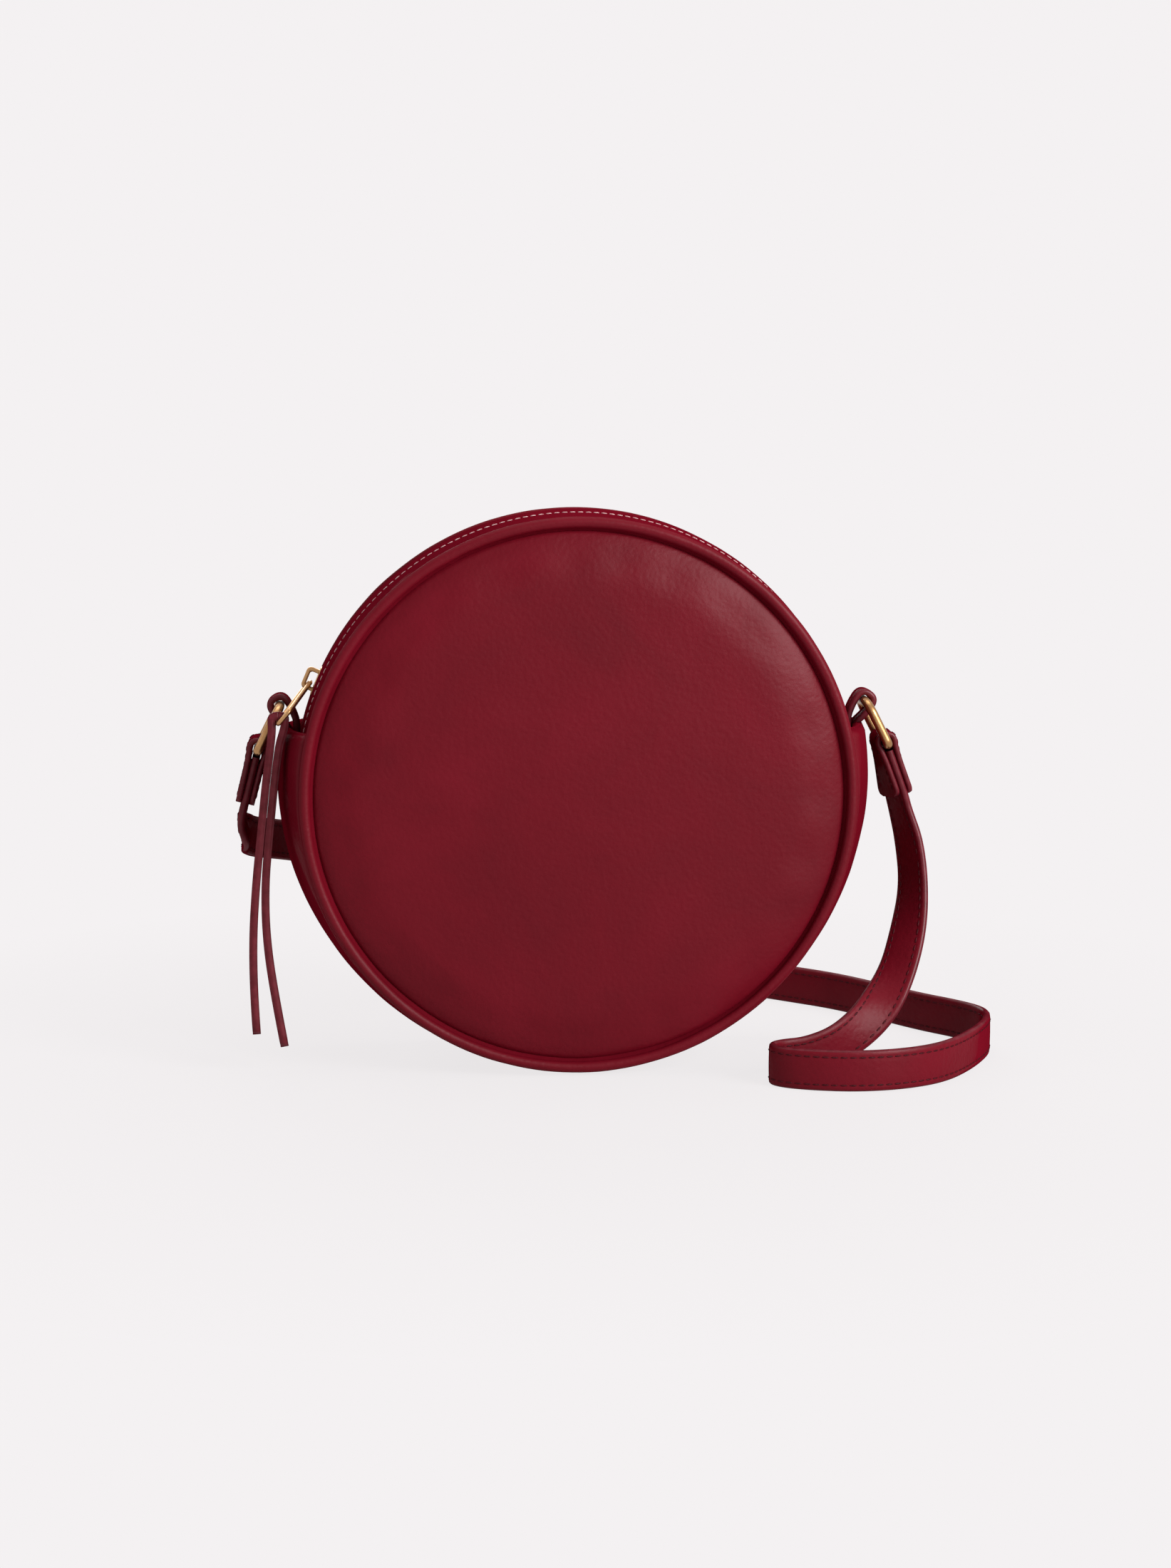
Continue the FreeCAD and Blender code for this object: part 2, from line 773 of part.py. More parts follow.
# Strap tab: leather folded over the ring's lower bar, its two layers holding the strap's end

tab_angle = math.radians(mm("tab_tilt"))
tab_down = Vector(math.sin(tab_angle), 0, -math.cos(tab_angle))
tab_bore = mm("ring_wire") / 2 + mm("tab_bore_gap")


def make_tab():
    width, length, over = mm("tab_width"), mm("tab_length"), mm("overrun")
    leather = mm("tab_leather")
    slot_half = mm("strap_thickness") / 2 + mm("strap_gap")
    start = Vector(0, -width / 2, 0)
    shape = Part.makeCylinder(tab_bore + leather, width, start, Y_AXIS)
    legs = Part.makeBox(2 * (slot_half + leather), width, length)
    legs.translate(start + Vector(-slot_half - leather, 0, -length))
    bore = Part.makeCylinder(tab_bore, width + 2 * over, start - Y_AXIS * over, Y_AXIS)
    slot = Part.makeBox(2 * slot_half, width + 2 * over, length + over)
    slot.translate(start + Vector(-slot_half, -over, -length - over))
    return shape.fuse(legs).cut(bore).cut(slot).removeSplitter()


HALF_TURN = Placement(Vector(), Rotation(Vector(0, 0, 1), 180))
ring_frame = frame(eye, ring_down, Y_AXIS)
tab_frame = Placement(ring_low, Rotation(Vector(0, -1, 0), mm("tab_tilt")))
for side, turn in (("right", Placement()), ("left", HALF_TURN)):
    solid(f"{side}_ring_loop", make_loop(), turn)
    solid(f"{side}_ring", make_ring(), turn.multiply(ring_frame))
    solid(f"{side}_strap_tab", make_tab(), turn.multiply(tab_frame))


# Strap: a flat leather band from tab to tab, laid on edge on the floor and folded behind the bag.
# Each point of the route has the direction from the band's front edge to its back edge.

ACROSS = (0.0, 1.0, 0.0)
TURNED = (-0.50, 0.87, 0.0)
LEANING = (-0.50, 0.70, 0.32)
RISING = (-0.25, 0.35, 0.85)
UPRIGHT = (0.0, 0.0, 1.0)
TWISTED = (0.45, 0.75, 0.45)

RIGHT_RUN = [
    (117.0, -2.5, 74.0, TURNED), (118.0, -6.0, 60.0, TURNED),
    (115.0, -13.0, 45.0, LEANING), (109.5, -21.0, 31.0, LEANING), (100.0, -30.0, 19.0, RISING),
    (88.0, -36.0, 11.0, UPRIGHT), (76.0, -39.0, 7.3, UPRIGHT), (66.0, -41.0, 7.1, UPRIGHT),
    (62.0, -46.5, 7.1, UPRIGHT), (66.0, -52.5, 7.1, UPRIGHT), (76.0, -57.0, 7.1, UPRIGHT),
    (90.0, -60.0, 7.1, UPRIGHT), (106.0, -57.5, 7.1, UPRIGHT), (121.0, -49.0, 7.1, UPRIGHT),
    (134.0, -31.0, 7.1, UPRIGHT), (144.0, -11.0, 7.1, UPRIGHT), (146.0, 3.0, 7.1, UPRIGHT),
    (139.0, 16.0, 7.1, UPRIGHT), (128.0, 29.0, 7.1, UPRIGHT), (116.0, 48.0, 7.1, UPRIGHT),
    (103.0, 67.0, 7.1, UPRIGHT), (87.0, 82.0, 7.1, UPRIGHT),
]
FOLDED = [
    (87.0, 82.0, 7.1, UPRIGHT), (71.0, 97.0, 7.1, UPRIGHT), (45.0, 101.0, 7.1, UPRIGHT),
    (10.0, 101.0, 7.1, UPRIGHT), (-30.0, 101.0, 7.1, UPRIGHT), (-46.0, 101.0, 7.1, UPRIGHT),
    (-53.0, 96.0, 7.1, UPRIGHT), (-46.0, 91.0, 7.1, UPRIGHT), (-30.0, 91.0, 7.1, UPRIGHT),
    (30.0, 91.0, 7.1, UPRIGHT), (46.0, 91.0, 7.1, UPRIGHT), (53.0, 86.0, 7.1, UPRIGHT),
    (46.0, 81.0, 7.1, UPRIGHT), (30.0, 81.0, 7.1, UPRIGHT), (-30.0, 81.0, 7.1, UPRIGHT),
    (-46.0, 81.0, 7.1, UPRIGHT), (-53.0, 76.0, 7.1, UPRIGHT), (-46.0, 71.0, 7.1, UPRIGHT),
    (-30.0, 71.0, 7.1, UPRIGHT), (30.0, 71.0, 7.1, UPRIGHT), (46.0, 71.0, 7.1, UPRIGHT),
    (53.0, 66.0, 7.1, UPRIGHT), (46.0, 61.0, 7.1, UPRIGHT), (28.0, 60.0, 7.1, UPRIGHT),
    (8.0, 60.0, 7.1, UPRIGHT),
]
LEFT_RUN = [
    (8.0, 60.0, 7.1, UPRIGHT), (-10.0, 60.0, 7.1, UPRIGHT), (-26.0, 60.0, 13.0, UPRIGHT),
    (-40.0, 59.0, 28.0, UPRIGHT), (-54.0, 56.0, 45.0, UPRIGHT), (-70.0, 51.0, 60.0, UPRIGHT),
    (-87.0, 42.0, 69.0, UPRIGHT), (-102.0, 28.0, 73.5, UPRIGHT), (-111.5, 12.0, 77.0, TWISTED),
    (-113.5, 2.0, 81.0, ACROSS),
]
SECTIONS_PER_SPAN = 4


def clamped_curve(poles):
    """Quadratic curve that starts and ends on its end points."""
    count = len(poles)
    knots = list(range(count - 1))
    repeats = [3] + [1] * (count - 3) + [3]
    curve = Part.BSplineCurve()
    curve.buildFromPolesMultsKnots([Vector(*pole) for pole in poles], repeats, knots, False, 2)
    return curve


def strap_stretch(route):
    """Flat band through square sections along the route."""
    path = clamped_curve([point[:3] for point in route])
    lean = clamped_curve([point[3] for point in route])
    half_width, half_thick = mm("strap_width") / 2, mm("strap_thickness") / 2
    steps = (len(route) - 2) * SECTIONS_PER_SPAN
    sections = []
    for step in range(steps + 1):
        where = (len(route) - 2) * step / steps
        point = path.value(where)
        along = Vector(*path.tangent(where)[0])
        wide = lean.value(where)
        wide = (wide - along * wide.dot(along)).normalize()
        flat = along.cross(wide)
        corners = [
            point + wide * half_width + flat * half_thick,
            point - wide * half_width + flat * half_thick,
            point - wide * half_width - flat * half_thick,
            point + wide * half_width - flat * half_thick,
        ]
        sections.append(Part.makePolygon(corners + corners[:1]))
    return Part.makeLoft(sections, True, True), path.length()


def tab_end(sign):
    """Points of the strap's end between the layers of a tab."""
    points = []
    inset, length = mm("strap_inset"), mm("tab_length")
    for distance in (inset, length / 2, length, length + mm("strap_lead")):
        spot = ring_low + tab_down * distance
        points.append((sign * spot.x, 0.0, spot.z, ACROSS))
    return points


total_length = 0
for name, route in (
    ("strap_right_run", tab_end(1) + RIGHT_RUN),
    ("strap_folded", FOLDED),
    ("strap_left_run", LEFT_RUN + tab_end(-1)[::-1]),
):
    stretch, length = strap_stretch(route)
    solid(name, stretch)
    section = mm("strap_width") * mm("strap_thickness")
    print(name, "length", round(length, 1), "volume share", round(stretch.Volume / (section * length), 3))
    total_length += length
print("strap length", round(total_length, 1))


# Build, test every object and write one file for each sub-part

doc.recompute()

NODES = [item for item in doc.Objects if item.TypeId in ("PartDesign::Body", "Part::Torus", "Part::Feature")]
for item in doc.Objects:
    if "Invalid" in item.State or "Error" in item.State:
        raise RuntimeError(f"{item.Label} failed: {item.State}")
for item in NODES:
    if item.Shape.isNull() or not item.Shape.isValid() or not item.Shape.Solids:
        raise RuntimeError(f"{item.Label} has no valid solid")

os.makedirs("parts", exist_ok=True)
for item in NODES:
    item.Shape.exportStep(f"parts/{item.Label}.step")
print(len(NODES), "sub-parts written")
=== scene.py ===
import math

import bpy
from mathutils import Matrix, Vector


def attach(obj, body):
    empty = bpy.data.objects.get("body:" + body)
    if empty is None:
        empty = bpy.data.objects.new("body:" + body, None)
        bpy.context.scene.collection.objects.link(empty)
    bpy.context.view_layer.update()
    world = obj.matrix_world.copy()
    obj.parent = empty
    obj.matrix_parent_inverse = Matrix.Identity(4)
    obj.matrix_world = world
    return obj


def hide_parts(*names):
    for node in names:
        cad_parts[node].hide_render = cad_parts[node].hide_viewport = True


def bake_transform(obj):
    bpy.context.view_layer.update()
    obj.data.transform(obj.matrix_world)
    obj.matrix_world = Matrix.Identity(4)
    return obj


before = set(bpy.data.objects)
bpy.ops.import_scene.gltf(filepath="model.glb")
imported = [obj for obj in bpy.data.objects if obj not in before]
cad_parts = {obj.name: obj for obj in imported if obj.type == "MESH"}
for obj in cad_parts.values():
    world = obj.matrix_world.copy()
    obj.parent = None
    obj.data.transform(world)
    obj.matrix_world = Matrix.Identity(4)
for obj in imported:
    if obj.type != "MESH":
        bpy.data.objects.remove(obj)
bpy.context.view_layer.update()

# Looks of a round leather crossbody bag. Sizes are in millimetres, as in the part's source, and
# MM makes them metres. +X is right, +Y back and +Z up. The bag's axis runs front to back at the
# height AXIS.

MM = 0.001
AXIS = 95.0
UP = Vector((0, 0, 1))
BACK = Vector((0, 1, 0))
TURN = 2 * math.pi


# Colours and materials

def colour(text):
    """sRGB hex to linear, with alpha."""
    parts = [int(text[index:index + 2], 16) / 255 for index in (1, 3, 5)]
    return [part / 12.92 if part <= 0.04045 else ((part + 0.055) / 1.055) ** 2.4 for part in parts] + [1.0]


def add(tree, kind, inputs=None, stops=(), **settings):
    """Add a node with its settings. An input is a value, or a (node, output) pair to link.

    Stops are the (place, hex colour) pairs of a colour ramp.
    """
    item = tree.nodes.new(kind)
    for key, value in settings.items():
        setattr(item, key, value)
    for key, value in (inputs or {}).items():
        if isinstance(value, tuple) and isinstance(value[0], bpy.types.Node):
            tree.links.new(value[0].outputs[value[1]], item.inputs[key])
        else:
            item.inputs[key].default_value = value
    while stops and len(item.color_ramp.elements) < len(stops):
        item.color_ramp.elements.new(0.5)
    for number, (place, text) in enumerate(stops):
        stop = item.color_ramp.elements[number]
        stop.position = place
        stop.color = colour(text)
    return item


def scale_for(size):
    """Scale of a texture on Object coordinates whose features are this many millimetres across."""
    return 1000 / size


def blank(name):
    material = bpy.data.materials.new(name)
    material.use_nodes = True
    tree = material.node_tree
    tree.nodes.clear()
    surface = add(tree, "ShaderNodeBsdfPrincipled")
    add(tree, "ShaderNodeOutputMaterial", {"Surface": (surface, "BSDF")})
    return material, tree, surface


def waxed_shine(tree, surface, level):
    """Shine of a waxed matt surface: it reflects most seen straight on, and stays dark along its outline."""
    view = add(tree, "ShaderNodeLayerWeight", {"Blend": 0.5})
    fading = add(tree, "ShaderNodeMapRange", {
        "Value": (view, "Facing"), "From Min": 0.1, "From Max": 0.72, "To Min": level, "To Max": 0.0,
    })
    surface.inputs["IOR"].default_value = 1.2
    surface.inputs["Specular IOR Level"].default_value = level
    tree.links.new(fading.outputs["Result"], surface.inputs["Specular IOR Level"])


def burgundy_leather():
    """Aniline calf leather, drum dyed and lightly waxed: cloudy colour, pebble grain and a soft shine.

    The grain is drawn coarser than that of calf, so that it shows.
    """
    material, tree, surface = blank("burgundy_calf_leather")
    place = add(tree, "ShaderNodeTexCoord")
    clouds = add(tree, "ShaderNodeTexNoise", {
        "Vector": (place, "Object"), "Scale": scale_for(55),
        "Detail": 5.0, "Roughness": 0.6, "Distortion": 0.6,
    })
    dye = add(tree, "ShaderNodeValToRGB", {"Fac": (clouds, "Fac")}, stops=[
        (0.28, "#600917"), (0.5, "#690b1a"), (0.75, "#710f1f"),
    ])
    tree.links.new(dye.outputs["Color"], surface.inputs["Base Color"])
    dullness = add(tree, "ShaderNodeMapRange", {
        "Value": (clouds, "Fac"), "From Min": 0.3, "From Max": 0.7, "To Min": 0.5, "To Max": 0.4,
    })
    tree.links.new(dullness.outputs["Result"], surface.inputs["Roughness"])
    pebble = add(tree, "ShaderNodeTexVoronoi", {
        "Vector": (place, "Object"), "Scale": scale_for(1.5), "Randomness": 1.0,
    }, feature="SMOOTH_F1")
    fine = add(tree, "ShaderNodeTexNoise", {
        "Vector": (place, "Object"), "Scale": scale_for(1.9), "Detail": 4.0, "Roughness": 0.65,
    })
    grain = add(tree, "ShaderNodeBump", {
        "Height": (pebble, "Distance"), "Strength": 0.5, "Distance": 0.14 * MM,
    })
    skin = add(tree, "ShaderNodeBump", {
        "Height": (fine, "Fac"), "Strength": 0.5, "Distance": 0.2 * MM, "Normal": (grain, "Normal"),
    })
    tree.links.new(skin.outputs["Normal"], surface.inputs["Normal"])
    waxed_shine(tree, surface, level=0.52)
    return material


def painted_edge():
    """Edge paint, brushed over a cut leather edge in coats: even, rounded and glossier than the skin."""
    material, tree, surface = blank("painted_leather_edge")
    place = add(tree, "ShaderNodeTexCoord")
    coats = add(tree, "ShaderNodeTexNoise", {
        "Vector": (place, "Object"), "Scale": scale_for(2.6), "Detail": 3.0,
    })
    paint = add(tree, "ShaderNodeValToRGB", {"Fac": (coats, "Fac")}, stops=[
        (0.3, "#58111b"), (0.7, "#6d1f2a"),
    ])
    tree.links.new(paint.outputs["Color"], surface.inputs["Base Color"])
    brushed = add(tree, "ShaderNodeBump", {"Height": (coats, "Fac"), "Strength": 0.25, "Distance": 0.12 * MM})
    tree.links.new(brushed.outputs["Normal"], surface.inputs["Normal"])
    surface.inputs["Roughness"].default_value = 0.36
    waxed_shine(tree, surface, level=0.9)
    return material


def sewing_thread(name, dark, light):
    """Bonded polyester thread, twisted from plies that catch the light in turn.

    The plies are drawn as coarse as the thread itself, so that they show.
    """
    material, tree, surface = blank(name)
    place = add(tree, "ShaderNodeTexCoord")
    plies = add(tree, "ShaderNodeTexNoise", {
        "Vector": (place, "Object"), "Scale": scale_for(0.5), "Detail": 2.0,
    })
    twist = add(tree, "ShaderNodeValToRGB", {"Fac": (plies, "Fac")}, stops=[(0.35, dark), (0.65, light)])
    tree.links.new(twist.outputs["Color"], surface.inputs["Base Color"])
    strands = add(tree, "ShaderNodeBump", {"Height": (plies, "Fac"), "Strength": 0.5, "Distance": 0.1 * MM})
    tree.links.new(strands.outputs["Normal"], surface.inputs["Normal"])
    surface.inputs["Roughness"].default_value = 0.55
    waxed_shine(tree, surface, level=0.5)
    return material


def woven_cloth(name, dark, light, thread):
    """Plain weave cloth: raised warp and weft that follow the piece's own UV map, in millimetres.

    The threads are drawn about twice as wide as real ones, so that they show.
    """
    material, tree, surface = blank(name)
    place = add(tree, "ShaderNodeTexCoord")
    waves = {}
    for way in ("X", "Y"):
        waves[way] = add(tree, "ShaderNodeTexWave", {
            "Vector": (place, "UV"), "Scale": 1 / thread, "Distortion": 0.6, "Detail": 1.0,
        }, bands_direction=way)
    weave = add(tree, "ShaderNodeMath", {0: (waves["X"], "Fac"), 1: (waves["Y"], "Fac")}, operation="MAXIMUM")
    # Painted shade: the colour follows the height of the weave, darker in the hollows between the threads and
    # lighter on their raised crests.
    dye = add(tree, "ShaderNodeValToRGB", {"Fac": (weave, "Value")}, stops=[(0.2, dark), (0.9, light)])
    tree.links.new(dye.outputs["Color"], surface.inputs["Base Color"])
    threads = add(tree, "ShaderNodeBump", {"Height": (weave, "Value"), "Strength": 0.7, "Distance": 0.2 * MM})
    tree.links.new(threads.outputs["Normal"], surface.inputs["Normal"])
    surface.inputs["Roughness"].default_value = 0.85
    surface.inputs["Sheen Weight"].default_value = 0.2
    return material


def brushed_gold():
    """Zinc casting and wire with a brushed, lacquered gold plating: warm, satin and faintly scratched."""
    material, tree, surface = blank("brushed_gold_plating")
    place = add(tree, "ShaderNodeTexCoord")
    long_scratch = add(tree, "ShaderNodeMapping", {"Vector": (place, "Object"), "Scale": (1.0, 0.08, 1.0)})
    scratch = add(tree, "ShaderNodeTexNoise", {
        "Vector": (long_scratch, "Vector"), "Scale": scale_for(0.35), "Detail": 4.0, "Roughness": 0.7,
    })
    tone = add(tree, "ShaderNodeTexNoise", {
        "Vector": (place, "Object"), "Scale": scale_for(6), "Detail": 3.0,
    })
    plating = add(tree, "ShaderNodeValToRGB", {"Fac": (tone, "Fac")}, stops=[
        (0.3, "#9c744b"), (0.7, "#b58d62"),
    ])
    tree.links.new(plating.outputs["Color"], surface.inputs["Base Color"])
    dull = add(tree, "ShaderNodeMapRange", {"Value": (scratch, "Fac"), "To Min": 0.24, "To Max": 0.42})
    tree.links.new(dull.outputs["Result"], surface.inputs["Roughness"])
    lines = add(tree, "ShaderNodeBump", {"Height": (scratch, "Fac"), "Strength": 0.18, "Distance": 0.06 * MM})
    tree.links.new(lines.outputs["Normal"], surface.inputs["Normal"])
    surface.inputs["Metallic"].default_value = 1.0
    return material


LEATHER = burgundy_leather()
EDGE = painted_edge()
THREAD = sewing_thread("tonal_thread", "#36090f", "#54131c")
ZIP_THREAD = sewing_thread("pale_red_thread", "#b98084", "#e2bcbc")
TAPE = woven_cloth("woven_zip_tape", "#3c0f16", "#5c1a24", thread=1.1)
LINING = woven_cloth("lining_twill", "#2a1216", "#43202a", thread=0.9)
GOLD = brushed_gold()


# Modelling helpers

def deselect():
    if bpy.context.object and bpy.context.object.mode != "OBJECT":
        bpy.ops.object.mode_set(mode="OBJECT")
    bpy.ops.object.select_all(action="DESELECT")


def finish_mesh(piece, *materials):
    """Give the piece its materials and smooth shading, and leave it selected alone."""
    deselect()
    bpy.context.view_layer.objects.active = piece
    piece.select_set(True)
    for material in materials:
        piece.data.materials.append(material)
    bpy.ops.object.shade_smooth()


def apply_modifiers(piece):
    bpy.context.view_layer.objects.active = piece
    for modifier in list(piece.modifiers):
        bpy.ops.object.modifier_apply(modifier=modifier.name)


def thicken(piece, name, thickness, offset):
    """Thickness for a sheet: to both sides of it with an offset of 0, and to its inside with -1."""
    layer = piece.modifiers.new(name, "SOLIDIFY")
    layer.thickness = thickness * MM
    layer.offset = offset


def on_wheel(radius, depth, angle):
    """Point at a radius and a clockwise angle from the top, seen from the front, and a depth."""
    return Vector((radius * math.sin(angle), depth, AXIS + radius * math.cos(angle))) * MM


def turned(name, profile, steps, begin=0.0, angle=TURN):
    """Draw a profile of (radius, depth) by extruding a point, and spin it about the bag's axis."""
    deselect()
    bpy.ops.mesh.primitive_plane_add(size=MM)
    piece = bpy.context.object
    piece.name = name
    bpy.ops.object.mode_set(mode="EDIT")
    bpy.ops.mesh.select_mode(type="VERT")
    bpy.ops.mesh.merge(type="CENTER")
    spots = [on_wheel(radius, depth, begin) for radius, depth in profile]
    bpy.ops.transform.translate(value=spots[0])
    for before, after in zip(spots, spots[1:]):
        bpy.ops.mesh.extrude_vertices_move(TRANSFORM_OT_translate={"value": after - before})
    bpy.ops.mesh.select_all(action="SELECT")
    bpy.ops.mesh.spin(steps=steps, angle=angle, center=(0, 0, AXIS * MM), axis=(0, -1, 0))
    bpy.ops.mesh.select_all(action="SELECT")
    bpy.ops.mesh.remove_doubles(threshold=0.01 * MM)
    bpy.ops.mesh.normals_make_consistent(inside=False)
    bpy.ops.object.mode_set(mode="OBJECT")
    return piece


def soft_dents(piece, amount, spread):
    """Uneven soft surface: low waves of a few tenths of a millimetre."""
    texture = bpy.data.textures.new(f"{piece.name}_waves", "CLOUDS")
    texture.noise_scale = spread * MM
    waves = piece.modifiers.new("waves", "DISPLACE")
    waves.texture = texture
    waves.texture_coords = "LOCAL"
    waves.strength = amount * MM
    waves.mid_level = 0.5


def arc_points(start, stop, count):
    """Points from start to stop on an arc that starts level and falls by the difference in depth."""
    run, fall = stop[0] - start[0], start[1] - stop[1]
    radius = (run * run + fall * fall) / (2 * fall)
    sweep = math.asin(min(run / radius, 1.0))
    return [
        (start[0] + radius * math.sin(sweep * step / count),
         start[1] - radius * (1 - math.cos(sweep * step / count)))
        for step in range(count + 1)
    ]


def unwrap_on_wheel(piece):
    """UV map in millimetres: along the arc about the bag's axis, and front to back."""
    layer = piece.data.uv_layers.new(name="weave")
    for loop in piece.data.loops:
        spot = piece.data.vertices[loop.vertex_index].co / MM
        angle = math.atan2(spot.x, spot.z - AXIS)
        layer.data[loop.index].uv = (angle * PANEL_RADIUS, spot.y)


def mesh_piece(name, points, faces):
    mesh = bpy.data.meshes.new(name)
    mesh.from_pydata(points, [], faces)
    piece = bpy.data.objects.new(name, mesh)
    bpy.context.collection.objects.link(piece)
    return piece


def take_shape(pattern):
    """Points and faces of a pattern, which is then removed."""
    points = [vertex.co.copy() for vertex in pattern.data.vertices]
    faces = [list(face.vertices) for face in pattern.data.polygons]
    bpy.data.objects.remove(pattern)
    return points, faces


def joined_copies(name, copies, faces):
    """One piece made of copies of a pattern. Each copy is the list of its own points."""
    points, polygons = [], []
    for copy in copies:
        first = len(points)
        points += copy
        polygons += [[first + corner for corner in face] for face in faces]
    return mesh_piece(name, points, polygons)


# Faces of the bag: domed leather over padding, swelled by a short cloth simulation

AROUND = 144
PANEL_RADIUS = 89.9
PANEL_FLAT = 78.0
RIM_DEPTH = 26.4
CROWN_DEPTH = 33.2
DOME_STEPS = 30
SHOULDER_DEPTH = 31.2
SHOULDER_SINK = 0.3
SHOULDER_ROUND, SHOULDER_FALL = 3, 0.7
SHOULDER_STEPS = 16
TUCK_DEPTH = 26.0
TUCK_LIP, TUCK_DIP = 1.2, 0.1
TUCK_WIDTH = 10
PUFF = 0.9
PUFF_FRAMES = 20
HELD_DEPTH, HELD_RIM = 0.6, 1.0
LINING_PROFILE = ((0, 27.2), (40, 27.1), (86, 27.2))


def cover_profile(sign):
    """Outline of a cover before it swells: a low dome, a round shoulder and the tucked-in back."""
    shoulder_depth = SHOULDER_DEPTH - SHOULDER_SINK
    dome = arc_points((0.0, CROWN_DEPTH - PUFF), (PANEL_FLAT, shoulder_depth), DOME_STEPS)
    shoulder = []
    for step in range(1, SHOULDER_STEPS + 1):
        share = math.sin(math.pi / 2 * step / SHOULDER_STEPS)
        left = (1 - share ** SHOULDER_ROUND) ** SHOULDER_FALL
        depth = TUCK_DEPTH + (shoulder_depth - TUCK_DEPTH) * left
        shoulder.append((PANEL_FLAT + (PANEL_RADIUS - PANEL_FLAT) * share, depth))
    back = [
        (PANEL_RADIUS - TUCK_LIP, TUCK_DEPTH - TUCK_DIP),
        (PANEL_RADIUS - TUCK_WIDTH, TUCK_DEPTH),
        (0.0, TUCK_DEPTH),
    ]
    return [(radius, sign * depth) for radius, depth in dome + shoulder + back]


def swell(piece, sign):
    """Cloth under pressure with the rim and back held, the swelling capped and then evened."""
    rest = [vertex.co.copy() for vertex in piece.data.vertices]
    held = piece.vertex_groups.new(name="held")
    for vertex in piece.data.vertices:
        from_axis = math.hypot(vertex.co.x, vertex.co.z - AXIS * MM)
        at_back = sign * vertex.co.y < (RIM_DEPTH + HELD_DEPTH) * MM
        if at_back or from_axis > (PANEL_RADIUS - HELD_RIM) * MM:
            held.add([vertex.index], 1.0, "REPLACE")
    cloth = piece.modifiers.new("swell", "CLOTH")
    cloth.settings.quality = 4
    cloth.settings.mass = 0.4
    cloth.settings.tension_stiffness = 25
    cloth.settings.bending_stiffness = 4
    cloth.settings.vertex_group_mass = "held"
    cloth.settings.use_pressure = True
    cloth.settings.uniform_pressure_force = 4
    cloth.settings.effector_weights.gravity = 0
    cloth.collision_settings.use_self_collision = False
    cloth.point_cache.frame_start = 1
    cloth.point_cache.frame_end = PUFF_FRAMES
    for number in range(1, PUFF_FRAMES + 1):
        bpy.context.scene.frame_set(number)
    apply_modifiers(piece)
    bpy.context.scene.frame_set(1)
    tiny = 1e-9
    for vertex, before in zip(piece.data.vertices, rest):
        move = vertex.co - before
        vertex.co = before + move * min(1.0, PUFF * MM / max(move.length, tiny))
    evened = piece.modifiers.new("evened", "SMOOTH")
    evened.factor = 0.5
    evened.iterations = 6
    evened.vertex_group = "held"
    evened.invert_vertex_group = True
    apply_modifiers(piece)


def make_cover(side, sign):
    cover = turned(f"{side}_cover", cover_profile(sign), steps=AROUND)
    swell(cover, sign)
    soft_dents(cover, amount=0.5, spread=42)
    apply_modifiers(cover)
    finish_mesh(cover, LEATHER)
    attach(cover, "bag")
    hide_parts(f"{side}_panel", f"{side}_foam")
    profile = [(radius, sign * depth) for radius, depth in LINING_PROFILE]
    disc = turned(f"{side}_lining_disc", profile, steps=AROUND // 2)
    thicken(disc, "cloth", thickness=0.6, offset=0)
    apply_modifiers(disc)
    unwrap_on_wheel(disc)
    finish_mesh(disc, LINING)
    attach(disc, "bag")
    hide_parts(f"{side}_lining")


# Piping: leather rolled round a cord, with the flange that is sewn into the seam

BAND_SEAM = 93.2
PIPING_RADIUS = 92.2
PIPING_DEPTH = 28.4
PIPING_HALF = 1.9
PIPING_AROUND = 192
ROLL_BEGIN, ROLL_SWEEP, ROLL_STEPS = 200, 310, 16
FLANGE_GAP = 0.2
FLANGE_WIDTH = 4
FLANGE_ROOT, FLANGE_TIP, FLANGE_UNDER = 0.4, 0.5, 1.2


def make_piping(side, sign):
    profile = []
    for step in range(ROLL_STEPS + 1):
        angle = math.radians(ROLL_BEGIN - ROLL_SWEEP * step / ROLL_STEPS)
        profile.append((
            PIPING_RADIUS + PIPING_HALF * math.cos(angle),
            sign * (PIPING_DEPTH + PIPING_HALF * math.sin(angle)),
        ))
    flange = [
        (BAND_SEAM - FLANGE_GAP, sign * (RIM_DEPTH - FLANGE_ROOT)),
        (BAND_SEAM - FLANGE_GAP, sign * (RIM_DEPTH - FLANGE_UNDER)),
        (PANEL_RADIUS - FLANGE_WIDTH, sign * (RIM_DEPTH - FLANGE_UNDER)),
        (PANEL_RADIUS - FLANGE_WIDTH, sign * (RIM_DEPTH - FLANGE_TIP)),
    ]
    piping = turned(f"{side}_welt", profile + flange + profile[:1], steps=PIPING_AROUND)
    soft_dents(piping, amount=0.25, spread=14)
    apply_modifiers(piping)
    finish_mesh(piping, LEATHER)
    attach(piping, "bag")
    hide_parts(f"{side}_piping")


# Side band: one long strip that bulges past the faces, with its two pocket mouths turned in and sewn.
# The hem gives its rows from the turned-in edge outwards, as (depth under the surface, drop below
# the mouth).

BAND_HALF = 26.4
BAND_SIDE = 100.6
BAND_RISE = 5.0
BAND_COLUMNS, BAND_ROWS = 28, 220
POCKET_MOUTH = 20.9
POCKET_HEM = ((2.6, 9.0), (2.6, 5.0), (2.5, 1.0), (2.2, 0.3), (1.5, 0.0), (0.7, 0.05), (0.2, 0.4))
FLOOR_GAP = 0.05


